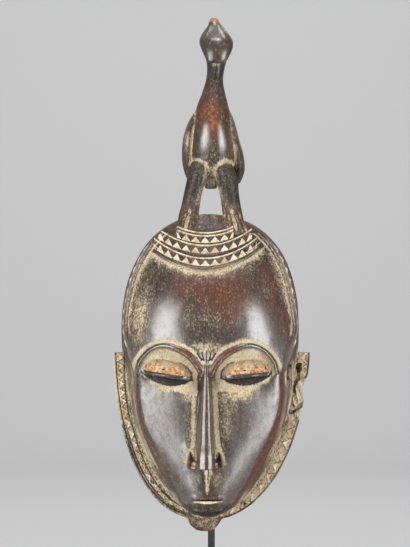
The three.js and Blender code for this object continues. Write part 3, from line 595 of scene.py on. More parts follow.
def hair_bands(depth, x, h, sizes):
    for line in range(len(BAND_LINES)):
        offset = band_offset(line, x, h)
        reach = smooth(-1, 1, band_reach(line, x))
        if line == len(BAND_LINES) - 1:
            bead = 1.5 * np.sqrt(np.clip(1 - (offset / 1.7) ** 2, 0, 1))
            groove = 0.6 * smooth(0.9, 0.2, np.abs(offset + 2.5))
            depth = depth + reach * (bead - groove)
            continue
        for shift in fillet_offsets(line):
            fillet = 0.6 * smooth(0.8, 0.3, np.abs(offset - shift))
            grooves = sum(smooth(0.7, 0.2, np.abs(offset - shift + side * 1.2)) for side in SIDES)
            depth = depth + reach * (fillet - 0.7 * grooves)
        depth = depth - reach * np.clip(band_chips(line, x, h), 0, 1.5) * 0.8 * sizes["tooth"]
    return depth


def edge_distance(x, h):
    """Distance inside the edge where the front turns into the side walls."""
    edge = by_side(x, EDGE[LEFT](h), EDGE[RIGHT](h)) - 1
    slope = by_side(x, EDGE[LEFT](h + 1), EDGE[RIGHT](h + 1)) - edge - 1
    return (edge - np.abs(x)) / np.sqrt(1 + slope**2)


def temple_grooves(depth, x, h):
    inside = edge_distance(x, h)
    span = within(h, 166, 184, 246, 254)
    groove = 0.9 * smooth(1.0, 0.2, np.abs(inside - 3.4)) - 0.35 * smooth(1.2, 0.3, np.abs(inside - 1.4))
    return depth - span * groove


def nostril(x, h):
    """Distance inside a nostril."""
    distance = np.abs(x - NOSE_X)
    down = np.clip((NOSTRIL_TOP - h) / (NOSTRIL_TOP - NOSE_FOOT), 0, 1)
    apex = by_side(x, NOSTRIL_APEX[LEFT], NOSTRIL_APEX[RIGHT])
    outer = mix(apex, by_side(x, NOSTRIL_OUTER[LEFT], NOSTRIL_OUTER[RIGHT]), down**0.5)
    inner = mix(apex, by_side(x, NOSTRIL_INNER[LEFT], NOSTRIL_INNER[RIGHT]), down)
    across = np.minimum(outer - distance, distance - inner)
    return np.minimum(across, np.minimum(NOSTRIL_TOP - h, h - NOSE_FOOT - 0.6))


def nose_half(x, h):
    """Half-width of the nose, which is wider on the left of its ridge than on the right."""
    return np.maximum(through(NOSE_HALF)(h), 1) * by_side(x - NOSE_X, 1.12, 0.9)


def nose_front(x, h):
    """Depth of the nose, its wings and nostrils, and far behind the face elsewhere."""
    half = nose_half(x, h)
    face = plain_front(x, h)
    distance = np.abs(x - NOSE_X)
    away = distance / half
    bevel = through(RIDGE_BEVEL)(h)
    slope = BEVEL_SLOPE * half * np.clip(away - RIDGE_FLAT, 0, bevel - RIDGE_FLAT)
    shoulder = through(NOSE_RIDGE)(h) - slope
    down = np.clip((away - bevel) / (1.1 - bevel), 0, 1)
    depth = mix(shoulder, face - 7, down**1.2)
    depth = np.where((away < 1.3) & (h < 146), depth, face - 14)
    wing_x = by_side(x, WING_X[LEFT], WING_X[RIGHT])
    wing = 1 - ((distance - wing_x) / 5.2) ** 2 - ((h - WING_HEIGHT) / 10.4) ** 2
    wing_depth = face + 9.5 * np.sqrt(np.clip(wing, 0, 1)) - 8 * smooth(0, -0.3, wing)
    depth = larger(depth, wing_depth, 0.8)
    return depth - np.clip(nostril(x, h) * 3.2, 0, 8)


def face_front(x, h, sizes):
    depth = plain_front(x, h)
    depth = sockets_and_brows(depth, x, h, sizes)
    depth = eyelids(depth, x, h, sizes)
    depth = nicks(depth, x, h)
    depth = philtrum(depth, x, h)
    depth = mouth(depth, x, h)
    depth = hair_bands(depth, x, h, sizes)
    return temple_grooves(depth, x, h)


def border_fields(x, h):
    """Distance inside the border's outer edge, and length along it from its top."""
    inside = np.full(x.shape, -50.0)
    along = np.zeros(x.shape)
    for side in SIDES:
        turn = np.linspace(0, math.pi / 2, 40)
        heights = mix(BORDER_TOP + 3, BORDER_FOOT, np.sin(turn))
        line = Line(np.column_stack([side * border_x(side, heights), heights]), 80)
        gap, length = line.measure(x, h, 24)
        here = (x * side > 0) & (np.abs(x) < border_x(side, h))
        inside = np.where(here, gap, inside)
        along = np.where(x * side > 0, length, along)
    return inside, along


MARGIN = {side: table(through(BORDER_MARGIN[side])) for side in SIDES}
TOOTH = {side: table(through(BORDER_TOOTH[side])) for side in SIDES}


def chip_place(x, h):
    """Where the border's chips begin, measured inward from its outer edge, and how long they are."""
    return tuple(by_side(x, curve[LEFT](h), curve[RIGHT](h)) for curve in (MARGIN, TOOTH))


def border_chips(x, h):
    """Distance inside the border's chips: bases towards the outer edge, points inward."""
    inside, along = border_fields(x, h)
    margin, height = chip_place(x, h)
    count = by_side(x, *(np.interp(along, *zip(*BORDER_CHIP_COUNT[side])) for side in SIDES))
    further = by_side(x, *(np.interp(along + 1, *zip(*BORDER_CHIP_COUNT[side])) for side in SIDES))
    pitch = 1 / np.maximum(further - count, 0.05)
    return tooth_row(count * pitch, height - (inside - margin), pitch, height)


def border_lines(x, h, inside):
    """1 along the fine lines cut on either side of the border's chips."""
    margin, height = chip_place(x, h)
    outer = near(inside - by_side(x, BORDER_LINE[LEFT], BORDER_LINE[RIGHT]), 0.6)
    second = near(inside - margin + 0.9, 0.4) * (x < 0) * smooth(95, 85, h)
    return np.maximum.reduce([outer, second, (x < 0) * near(inside - margin - height - 0.8, 0.5)])


def broken_stretch(x, h):
    """1 on the right border from the foot of its broken stretch upward."""
    return smooth(58, 72, x) * smooth(88, 98, h)


def worn_border(x, h):
    """1 where the border is broken away and its wood lies bare."""
    return broken_stretch(x, h) * smooth(134, 126, h)


def fibres(x, h):
    """Height of the bare wood's broken fibres, which run along the border."""
    across = x + 0.28 * h
    coarse = lattice_noise(across / 1.5, h / 7, h * 0, 5)
    fine = lattice_noise(across / 0.8, h / 3, h * 0, 6)
    return 0.65 * coarse + 0.35 * fine


def border_inside(x, h):
    return border_fields(x, h)[0]


class Map:
    """Values over the front on a fine grid of x and height, sampled with a smooth filter."""

    X0, X1, H0, H1, STEP = -96.0, 99.0, -8.0, 292.0, 0.3

    def __init__(self, function):
        xs = np.arange(self.X0, self.X1, self.STEP)
        hs = np.arange(self.H0, self.H1, self.STEP)
        x, h = np.meshgrid(xs, hs)
        self.values = function(x, h)
        rise, run = np.gradient(self.values, self.STEP)
        self.flatness = 1 / np.sqrt(1 + np.minimum(rise**2 + run**2, 25))

    def flatness_at(self, x, h):
        """How far the map leans at a place: 1 where it is level, less where it is steep."""
        rows, columns = self.values.shape
        i = np.clip(((x - self.X0) / self.STEP + 0.5).astype(np.int32), 0, columns - 1)
        j = np.clip(((h - self.H0) / self.STEP + 0.5).astype(np.int32), 0, rows - 1)
        return self.flatness[j, i]

    def at(self, x, h):
        rows, columns = self.values.shape
        u = np.clip((x - self.X0) / self.STEP, 1, columns - 3)
        v = np.clip((h - self.H0) / self.STEP, 1, rows - 3)
        i = np.floor(u + 0.5).astype(np.int32)
        j = np.floor(v + 0.5).astype(np.int32)
        fu, fv = u - i, v - j
        wu = (0.5 * (0.5 - fu) ** 2, 0.75 - fu * fu, 0.5 * (0.5 + fu) ** 2)
        wv = (0.5 * (0.5 - fv) ** 2, 0.75 - fv * fv, 0.5 * (0.5 + fv) ** 2)
        total = 0
        for a in range(3):
            for b in range(3):
                total = total + wv[a] * wu[b] * self.values[j + a - 1, i + b - 1]
        return total


# Fields of the solids: negative inside, about a distance in millimetres


class Limb:
    """A rounded body through stations of (height, x, depth, half-width, half-depth)."""

    def __init__(self, stations, end, middle=None):
        self.heights = np.arange(stations[0][0] - 40.0, stations[0][0] + 180.0, TABLE_STEP)
        if stations[0][0] > stations[-1][0]:
            self.heights = np.arange(stations[-1][0] - 40.0, stations[0][0] + 60.0, TABLE_STEP)
        self.columns = [through(stations, k)(self.heights) for k in range(1, 5)]
        self.low = min(row[0] for row in stations)
        self.high = max(row[0] for row in stations)
        self.end = end
        self.middle = middle

    def field(self, x, depth, h):
        if self.middle is not None:
            x = np.abs(x - self.middle)
        centre_x, centre_depth, wide, deep = (np.interp(h, self.heights, column) for column in self.columns)
        across = (x - centre_x) / wide
        forward = (depth - centre_depth) / deep
        ratio = np.sqrt(across**2 + forward**2 + 1e-9)
        lean = np.sqrt((across / wide) ** 2 + (forward / deep) ** 2 + 1e-9)
        around = (ratio - 1) * ratio / lean
        around = np.where(ratio < 0.5, (ratio - 1) * np.minimum(wide, deep), around)
        return larger(around, np.maximum(self.low - h, h - self.high), self.end)


BODY = Limb(BIRD_BODY, 5.0)
HEAD = Limb(BIRD_HEAD, 3.5)
TAIL = Limb(BIRD_TAIL, 2.0)
WING = {side: Limb(BIRD_WING[side], 2.0, WING_MIDDLE) for side in SIDES}
LEG = {side: Limb(BIRD_LEG[side], 3.0, LEG_MIDDLE) for side in SIDES}
LUG_BODY = Limb(LUG, 3.0)


def ball(x, depth, h, centre, reach):
    q = np.sqrt(sum(((p - c) / r) ** 2 for p, c, r in zip((x, depth, h), centre, reach)) + 1e-9)
    return (q - 1) * min(reach)


def bar_between(x, depth, h, start, end, radius):
    """A round-ended bar, for grooves and cracks."""
    along = np.array(end) - np.array(start)
    p = (x - start[0], depth - start[1], h - start[2])
    t = np.clip(sum(a * b for a, b in zip(p, along)) / (along @ along), 0, 1)
    return np.sqrt(sum((a - t * b) ** 2 for a, b in zip(p, along)) + 1e-9) - radius


def paired(limbs, x, depth, h):
    """The field of a pair of limbs that differ a little from side to side."""
    left = limbs[LEFT].field(x, depth, h)
    return np.where(x < limbs[LEFT].middle, left, limbs[RIGHT].field(x, depth, h))


# Bites out of the border's broken stretch, as depth, height and reach
BITES = [(2.6, 126.5, 4.6), (2.0, 118, 4), (0.9, 101, 3)]
TOE_LINES = [((17.8 + toe * 4.4, 47.0, 275.0), (23.2 + toe * 6.2, 55.5, 253.0)) for toe in (-1, 0, 1)]
# Cracks of the border, as start, end and radius
CRACKS = [
    ((78.8, 11, 137), (78.6, 11, 130), 1.4), ((78.4, 11, 131), (75.4, 11, 124), 1.2),
    ((75.4, 11, 124), (75.0, 11, 119), 0.8), ((83.6, 9, 109.6), (78.6, 10, 104.6), 1.5),
    ((79, 10, 105), (73, 10.6, 100.4), 1.05), ((70.5, 13, 102), (69.4, 12, 93), 0.6),
    ((73.5, 13, 121), (72.8, 12.5, 107), 0.45), ((76.8, 12.5, 119), (76.2, 12.5, 111), 0.4),
    ((33.2, 9, 21.2), (30, 11, 23.5), 1.2),
]


def temple_slot(x, h):
    """Distance outside the small upright slot cut behind the right eye."""
    return np.maximum(np.abs(x - SLOT_X) - SLOT_HALF_WIDTH, np.abs(h - SLOT_HEIGHT) - SLOT_HALF_HEIGHT)


class Carving:
    """The whole carved mask as one field."""

    def __init__(self, sizes):
        self.sizes = sizes
        self.front = Map(lambda x, h: face_front(x, h, sizes))
        self.nose = Map(nose_front)
        self.chips = Map(border_chips)
        self.rim = Map(border_inside)

    def face(self, x, depth, h):
        forward = (depth - self.front.at(x, h)) * self.front.flatness_at(x, h)
        close = (np.abs(x - NOSE_X) < 24) & (h > 48) & (h < 152)
        xn, dn, hn = x[close], depth[close], h[close]
        bridge = (dn - self.nose.at(xn, hn)) * self.nose.flatness_at(xn, hn)
        bridge = larger(bridge, NOSE_FOOT - hn, 0.9)
        forward[close] = smaller(forward[close], bridge, 1.0)
        return forward

    def head(self, x, depth, h):
        forward = np.full(x.shape, -20.0)
        front_half = depth > FRONT_FROM
        forward[front_half] = self.face(x[front_half], depth[front_half], h[front_half])
        walls = self.walls(x, depth, h)
        shell = larger(forward, walls, SOFTNESS(h))
        return larger(shell, self.ends(depth, h), 1.5)

    def walls(self, x, depth, h):
        edge_depth = WALL_EDGE_DEPTH(h)
        inset = by_side(x, INSET[LEFT](h), INSET[RIGHT](h))
        out = np.abs(x) + inset * np.clip(depth / edge_depth, 0, 1.4)
        width = by_side(x, HALF_WIDTH[LEFT], HALF_WIDTH[RIGHT])
        crown_power = by_side(x, CROWN_SQUARENESS[LEFT], CROWN_SQUARENESS[RIGHT])
        power = np.where(h > WIDEST, crown_power, JAW_SQUARENESS)
        rise = np.where(h > WIDEST, (h - WIDEST) / (CROWN - WIDEST), (WIDEST - h) / (WIDEST - CHIN))
        round_out = ((out / width) ** power + np.abs(rise) ** power) ** (1 / power)
        wall = (round_out - 1) * width
        behind = edge_depth - depth - SIDE_BEHIND_EDGE
        chip = tooth_row(h, SIDE_TOOTH - behind, SIDE_PITCH, SIDE_TOOTH)
        span = within(h, SIDE_BAND_FOOT - 3, SIDE_BAND_FOOT + 3, SIDE_BAND_TOP - 3, SIDE_BAND_TOP + 3)
        line = 0.7 * smooth(0.9, 0.3, np.abs(behind + 2))
        line = line + 0.6 * smooth(0.9, 0.3, np.abs(behind - SIDE_TOOTH - 2))
        return wall + span * (np.clip(chip, 0, 1.4) * 0.9 + line)

    def ends(self, depth, h):
        """The rounding of crown and chin towards the back, and the plane of the rim."""
        start = CROWN - CROWN_ROUNDING
        ahead = 22.0
        reach = np.where(depth < CROWN_DEPTH, CROWN_DEPTH, ahead)
        dome = np.hypot((depth - CROWN_DEPTH) / reach, np.maximum(h - start, 0) / CROWN_ROUNDING) - 1
        crown = np.where(h > start, dome * 22, -depth)
        crown = np.where((h > start) | (depth < CROWN_DEPTH), crown, -CROWN_DEPTH)
        low = CHIN + CHIN_ROUNDING
        reach = np.where(depth < CHIN_DEPTH, CHIN_DEPTH, 30.0)
        cup = np.hypot((depth - CHIN_DEPTH) / reach, np.maximum(low - h, 0) / CHIN_ROUNDING) - 1
        chin = np.where(h < low, cup * 13, -30.0)
        return np.maximum(np.maximum(crown, chin), -depth)

    def border(self, x, depth, h):
        width = by_side(x, BORDER_HALF_WIDTH[LEFT], BORDER_HALF_WIDTH[RIGHT])
        power = by_side(x, BORDER_SQUARENESS[LEFT], BORDER_SQUARENESS[RIGHT])
        drop = np.clip((WIDEST - h) / (WIDEST - BORDER_FOOT), 0, 3)
        outline = (((np.abs(x) / width) ** power + drop**power) ** (1 / power) - 1) * width
        grit = lattice_noise(x / 5, depth / 9, h / 3.2, 3)
        bites = sum(deep * near(h - height, reach) for deep, height, reach in BITES)
        outline = outline + broken_stretch(x, h) * (bites + 0.5 * grit * smooth(135, 130, h))
        worn = worn_border(x, h)
        inside = self.rim.at(x, h)
        chips = np.clip(self.chips.at(x, h), 0, 1.6) * BORDER_CHIP_DEPTH
        flakes = worn * (0.9 + 1.3 * fibres(x, h))
        face = BORDER_THICKNESS - (1 - 0.85 * worn) * (chips + 0.6 * border_lines(x, h, inside)) - flakes
        plate = larger(outline, larger(depth - face, -depth, 0.8), 0.9)
        return larger(plate, h - BORDER_TOP, 0.8)

    def hollow(self, x, depth, h):
        middle = (HOLLOW_CEILING + HOLLOW_FLOOR) / 2
        half = (HOLLOW_CEILING - HOLLOW_FLOOR) / 2
        wide = np.maximum(by_side(x, HALF[LEFT](h), HALF[RIGHT](h)) - WALL, 3)
        front = MIDDLE(h) - FRONT_WALL
        power = HOLLOW_SQUARENESS
        around = (np.abs(x) / wide) ** power + (np.maximum(depth, 0) / front) ** power
        rise = np.abs((h - middle) / half) ** HOLLOW_END_SQUARENESS
        return ((around + rise) ** (1 / power) - 1) * np.minimum(wide, front)

    def bird(self, x, depth, h):
        body = smaller(BODY.field(x, depth, h), paired(WING, x, depth, h), 1.0)
        body = smaller(body, TAIL.field(x, depth, h), 2.0)
        body = smaller(body, paired(LEG, x, depth, h), 1.2)
        body = smaller(body, HEAD.field(x, depth, h), 4.0)
        out = np.abs(x - LEG_MIDDLE)
        for start, end in TOE_LINES:
            body = larger(body, -bar_between(out, depth, h, start, end, 1.4), 0.6)
        return body

    def age(self, field, x, depth, h):
        """Worm hole, cracks, chips and the slot in the temple."""
        shift = 1.2 * lattice_noise(x / 3, depth / 3, h / 3, 7)
        hole = ball(x, depth, h, (78.8, 10.5, 140), (2.7, 8.5, 4.8)) + 0.7 * shift
        hole = smaller(hole, ball(x, depth, h, (80.3, 11, 142.6), (1.6, 7, 1.9)) + 0.4 * shift, 0.8)
        field = larger(field, -hole, 0.5)
        for start, end, radius in CRACKS:
            field = larger(field, -(bar_between(x, depth, h, start, end, radius) + 0.4 * shift), 0.5)
        field = larger(field, -np.maximum(temple_slot(x, h), SLOT_FLOOR - depth), 0.5)
        tip = h - 440.2 - 0.5 * shift + 0.045 * (x - 5) ** 2
        return larger(field, np.where(h > 430, tip, -9), 0.4)

    def field(self, x, depth, h):
        mask = smaller(self.head(x, depth, h), self.border(x, depth, h), 0.8)
        mask = smaller(mask, LUG_BODY.field(x, depth, h), 1.5)
        mask = larger(mask, -self.hollow(x, depth, h), 1.0)
        bird = np.full(x.shape, 60.0)
        high = h > BIRD_FROM
        bird[high] = self.bird(x[high], depth[high], h[high])
        whole = smaller(mask, bird, 1.2)
        whole = self.age(whole, x, depth, h)
        tool_marks = self.sizes["undulation"] * lattice_noise(x / 9, depth / 9, h / 14, 1)
        fine = 0.35 * self.sizes["undulation"] * lattice_noise(x / 2.6, depth / 2.6, h / 7, 2)
        return whole + tool_marks + fine


# Turning the field into a mesh

VOXEL = 0.66
BLOCK = 4
BAND = 3.6
CHUNK = 120000
WORKERS = 4


def evaluate(function, points):
    """A function of x, depth and height at many points, worked through in parallel pieces."""
    pieces = np.array_split(points, max(1, len(points) // CHUNK))
    with ThreadPoolExecutor(WORKERS) as pool:
        return np.concatenate(list(pool.map(lambda p: function(p[:, 0], p[:, 1], p[:, 2]), pieces)))


def grid_points(low, step, shape):
    axes = [low[k] + step * np.arange(shape[k]) for k in range(3)]
    return np.stack(np.meshgrid(*axes, indexing="ij"), -1).reshape(-1, 3)


def neighbours(axis):
    """Slices of a grid that pair each place with the next one along an axis."""
    first, second = [slice(None)] * 3, [slice(None)] * 3
    first[axis], second[axis] = slice(0, -1), slice(1, None)
    return tuple(first), tuple(second)


def sample_band(function, low, high):
    """Field values on a fine grid: exact near the surface, and right in sign elsewhere."""
    blocks = np.ceil((high - low) / (VOXEL * BLOCK)).astype(int)
    middle = (BLOCK - 1) / 2 * VOXEL
    coarse = evaluate(function, grid_points(low + middle, VOXEL * BLOCK, blocks)).reshape(blocks)
    inside = coarse < 0
    wanted = np.abs(coarse) < BAND
    for axis in range(3):
        changed = np.diff(inside, axis=axis)
        for part in neighbours(axis):
            wanted[part] |= changed
    values = np.repeat(np.repeat(np.repeat(coarse, BLOCK, 0), BLOCK, 1), BLOCK, 2).astype(np.float32)
    chosen = np.argwhere(wanted)
    offsets = grid_points(np.zeros(3), 1, (BLOCK,) * 3).astype(int)
    index = (chosen[:, None, :] * BLOCK + offsets[None]).reshape(-1, 3)
    values[tuple(index.T)] = evaluate(function, low + VOXEL * index)
    return values


def surface_nets(values, low):
    """Vertices and outward quads of the surface where a grid of values crosses zero."""
    shape = np.array(values.shape)
    strides = np.array([shape[1] * shape[2], shape[2], 1])
    cell_ids, places, rings, flips = [], [], [], []
    for axis in range(3):
        a, b = (values[part] for part in neighbours(axis))
        edge = np.argwhere((a < 0) != (b < 0))
        before, after = a[tuple(edge.T)], b[tuple(edge.T)]
        place = edge.astype(float)
        place[:, axis] += before / (before - after)
        u, v = strides[(axis + 1) % 3], strides[(axis + 2) % 3]
        cell = edge @ strides
        ring = np.stack([cell - u - v, cell - v, cell, cell - u], 1)
        cell_ids.append(ring.ravel())
        places.append(np.repeat(place, 4, 0))
        rings.append(ring)
        flips.append(before > 0)
    cells, back = np.unique(np.concatenate(cell_ids), return_inverse=True)
    places = np.concatenate(places)
    count = np.bincount(back)
    points = np.stack([np.bincount(back, places[:, k]) / count for k in range(3)], 1)
    quads = np.searchsorted(cells, np.concatenate(rings))
    flip = np.concatenate(flips)
    quads[flip] = quads[flip][:, ::-1]
    return low + VOXEL * points, quads


def gradient(function, points, value, step=0.25):
    columns = []
    for axis in range(3):
        moved = points.copy()
        moved[:, axis] += step
        columns.append((evaluate(function, moved) - value) / step)
    return np.stack(columns, 1)


def settle(function, points, rounds):
    """Moves points onto the surface."""
    for _ in range(rounds):
        value = evaluate(function, points)
        slope = gradient(function, points, value)
        size = np.maximum((slope**2).sum(1), 0.3)
        shift = np.clip(value / size, -0.6, 0.6)
        points = points - shift[:, None] * slope
    return points


def mesh_object(name, points, faces):
    """A mesh object from points in the mask's terms."""
    mesh = bpy.data.meshes.new(name)
    placed = np.stack([points[:, 0], RIM_Y - points[:, 1], LUG_Z + points[:, 2]], 1) * MM
    mesh.vertices.add(len(placed))
    mesh.vertices.foreach_set("co", placed.ravel())
    corners = faces.shape[1]
    mesh.loops.add(faces.size)
    mesh.loops.foreach_set("vertex_index", faces[:, ::-1].ravel())
    mesh.polygons.add(len(faces))
    mesh.polygons.foreach_set("loop_start", np.arange(len(faces)) * corners)
    mesh.update(calc_edges=True)
    obj = bpy.data.objects.new(name, mesh)
    bpy.context.scene.collection.objects.link(obj)
    return obj


def fine_places(carving, x, depth, h):
    """Where the carving is fine: bands, eyes, nose, mouth and the border's chips."""
    front = (depth > FRONT_FROM) & (depth - plain_front(x, h) > -12)
    bands = (band_offset(len(BAND_LINES) - 1, x, h) > -4) & (np.abs(x - BAND_MIDDLE) < 52) & (h < 276)
    eyes = (np.abs(x - NOSE_X) < 64) & (h > 116) & (h < 166)
    nose = (np.abs(x - NOSE_X) < 16) & (h > 28) & (h < 120)
    mouth_place = (np.abs(x - MOUTH_X) < 20) & (h > 12) & (h < 36)
    rim = carving.rim.at(x, h)
    border = (rim > -1) & (rim < 11) & (depth > 8) & (depth < 14) & (h < BORDER_TOP)
    return (front & (bands | eyes | nose | mouth_place)) | border


def with_fewer_faces(obj, limit, fine):
    """Merges faces where the surface is plainest, until the triangles are within the limit."""
    triangles = sum(len(p.vertices) - 2 for p in obj.data.polygons)
    plain = obj.vertex_groups.new(name="Plain")
    plain.add(np.flatnonzero(~fine).tolist(), 1.0, "ADD")
    plain.add(np.flatnonzero(fine).tolist(), 0.5, "ADD")
    modifier = obj.modifiers.new("Fewer faces", "DECIMATE")
    modifier.vertex_group = plain.name
    modifier.vertex_group_factor = 1.0
    modifier.ratio = min(1.0, limit / triangles)
    modifier.use_collapse_triangulate = True
    evaluated = obj.evaluated_get(bpy.context.evaluated_depsgraph_get())
    mesh = bpy.data.meshes.new_from_object(evaluated)
    obj.modifiers.clear()
    obj.vertex_groups.clear()
    old = obj.data
    obj.data = mesh
    bpy.data.meshes.remove(old)
    mesh.name = obj.name
    mesh.polygons.foreach_set("use_smooth", np.ones(len(mesh.polygons), bool))


def placed_points(mesh):
    placed = np.empty(len(mesh.vertices) * 3)
    mesh.vertices.foreach_get("co", placed)
    return placed.reshape(-1, 3)


def keep_in_box(mesh):
    """Trims the carved surface to the box of the solid it covers."""
    placed = np.clip(placed_points(mesh), MASK_BOX[0], MASK_BOX[1])
    mesh.vertices.foreach_set("co", placed.ravel())
    mesh.update()


def mask_points(mesh):
    """The mesh's points in the mask's own terms."""
    placed = placed_points(mesh) / MM
    return np.stack([placed[:, 0], RIM_Y - placed[:, 1], placed[:, 2] - LUG_Z], 1)


# Finish of the wood, as values over its surface

MIDDLE_OF_BIRD = 2.7
NOSE_CLAY = {
    LEFT: [(54, 13), (70, 11.9), (93, 11.3), (110, 11), (136, 9.5)],
    RIGHT: [(54, 11), (70, 10.2), (93, 8.2), (110, 7.7), (136, 6.5)],
}
ARRIS = [(20, -1), (55, -1.2), (88, 0.7), (120, 1.6), (142, 1.5)]

# Soft patches, as amount, x, height, reach in x and reach in height
CLAY_CLOUDS = [
    (0.55, 29, 119, 13, 6), (0.42, 15, 92, 7, 26), (0.34, -16, 88, 4, 30), (0.3, -18, 117, 10, 5),
    (0.35, -9, 47, 6, 8), (0.5, 8, 46, 5, 9), (0.5, -1, 160, 20, 5), (0.35, -52, 205, 9, 22),
    (0.3, 52, 208, 12, 10), (0.45, 0, 153, 10, 5), (0.2, 0, 182, 36, 14), (0.3, 22, 228, 22, 7),
    (0.25, -45, 60, 14, 20), (0.12, 30, 95, 22, 30), (0.14, -40, 120, 26, 40), (0.3, -58, 168, 8, 18),
    (0.2, 4, 118, 30, 8), (0.34, -60, 187, 9, 16), (0.22, -36, 224, 16, 10), (0.15, 38, 226, 16, 9),
    (0.1, 0, 190, 45, 24),
]
BIRD_CLAY = [(0.62, -17.5, 336, 4, 16), (0.36, 4, 320, 16, 6), (0.6, 3.2, 311, 5, 4), (0.35, 21, 335, 4, 18)]
RED_PATCHES = [
    (1.1, 12, 205, 30, 19), (0.95, -12, 212, 20, 16), (0.95, 54, 210, 12, 20), (0.85, 69, 182, 6, 24),
    (0.6, -62, 180, 9, 24), (0.7, 20, 188, 14, 10), (1.1, NOSE_X, 140, 2.4, 3), (0.7, 20, 30, 8, 5),
]
DARK_PATCHES = [(0.75, -6, 262, 9, 5), (0.4, 22, 172, 16, 8)]
MOUND_SMOKE = [(1, -4, 262, 8, 5), (0.8, 8, 266, 9, 6)]
DULL_PATCHES = [
    (0.75, 10, 208, 38, 22), (0.35, 16, 92, 14, 30), (0.4, -36, 92, 24, 36), (0.42, -30, 52, 20, 22),
    (0.3, 40, 100, 22, 34),
]
POLISHED_PATCHES = [(1, -1.5, 337, 4, 9), (1, 14, 337, 4, 9), (1, -37, 194, 14, 26), (1, 44, 188, 12, 22)]
CHEST_GLOW = [(0.46, 2.8, 358, 4.6, 8), (0.34, 6, 348, 5.5, 9)]
LID_NOTCHES = [(1, -37.4, 140.4, 2.2, 1.5), (1, 31, 139.6, 3, 1.2)]


def patches(rows, x, h):
    return [amount * bump(x, h, *place) for amount, *place in rows]


def most(*values):
    return np.maximum.reduce(values)


class Surface:
    """Places on the carved surface, measured against the features they lie on."""

    def __init__(self, carving, points):
        x, depth, h = points.T
        self.carving, self.x, self.depth, self.h = carving, x, depth, h
        self.behind = depth - plain_front(x, h)
        self.on_front = smooth(-14, -8, self.behind) * (h < 284)
        self.on_bird = smooth(281, 284, h)
        self.hollow = carving.hollow(x, depth, h)
        self.measure_face()
        self.measure_edges()
        self.notches = sum(patches(LID_NOTCHES, x, h))
        self.mound = within(h, 257, 260, 278, 282) * smooth(26, 18, np.abs(x - MIDDLE_OF_BIRD))
        self.mound = self.mound * smooth(255.5, 257.5, h - 0.009 * x * x)
        self.toes = within(h, 255, 258, 272, 281) * smooth(8, 11, np.abs(x - LEG_MIDDLE))
        self.toes = self.toes * smooth(38, 34, np.abs(x))
        self.lug = smooth(17, 12, h)

    def measure_face(self):
        x, h = self.x, self.h
        self.away = np.abs(x - NOSE_X)
        self.across_nose = self.away / nose_half(x, h)
        gap, self.along_brow = BROW.measure(self.away, h)
        self.off_brow = gap - brow_radius(self.along_brow / BROW.lengths[-1])
        self.on_brow = smooth(0.5, -0.3, self.off_brow)
        self.eye_along, self.above = eye_place(x, h)
        self.lid = lid_shape(x, h)
        opening = self.on_front * smooth(-0.06, 0.06, self.lid) * (h > SOCKET_FLOOR)
        self.bead = opening * smooth(3.7, 3.0, self.above) * smooth(-0.1, 0.3, self.above)
        self.lower_lid = opening * smooth(0.1, -0.4, self.above)
        # Painted shadow line round the eyelid's inner corner, laid in red and dark, with the clay cleared
        # from it.
        self.lid_corner_shadow = near(self.lid + 0.06, 0.16) * smooth(-7, -13, self.eye_along) * (self.above > -4)
        self.lid_corner_shadow = self.lid_corner_shadow * self.on_front
        self.nostril = nostril(x, h)
        self.off_philtrum = x - philtrum_x(h)

    def measure_edges(self):
        """The bands' rim, the arris between front and walls, the jaw, the temple's slot and the bare wood."""
        x, depth, h = self.x, self.depth, self.h
        self.rim = band_offset(len(BAND_LINES) - 1, x, h)
        self.edge = edge_distance(x, h)
        self.streak = lattice_noise(self.edge / 1.1, depth / 14, h / 16, 12)
        reach = mix(5.6, 3.8, smooth(60, 110, h))
        self.arris = smooth(reach, reach - 2.6, np.abs(self.edge - through(ARRIS)(h)))
        self.arris = self.arris * smooth(-24, -17, self.behind) * within(h, 19, 26, 136, 144)
        self.jaw = (1 - self.on_front) * smooth(12, 16, depth) * smooth(156, 138, h)
        self.slot = smooth(0.4, -0.3, temple_slot(x, h)) * (depth > 14)
        self.raw = smooth(2.2, 1.2, self.hollow) * smooth(-1, 1, h - HOLLOW_FLOOR + 10)
        self.raw = np.maximum(self.raw, 0.75 * smooth(1.2, 0.3, depth) * (h < CROWN))
        self.bare = worn_border(x, h) * smooth(BORDER_THICKNESS + 3, BORDER_THICKNESS + 1, depth)
        self.bare = self.bare * smooth(0.6, 2.4, depth)


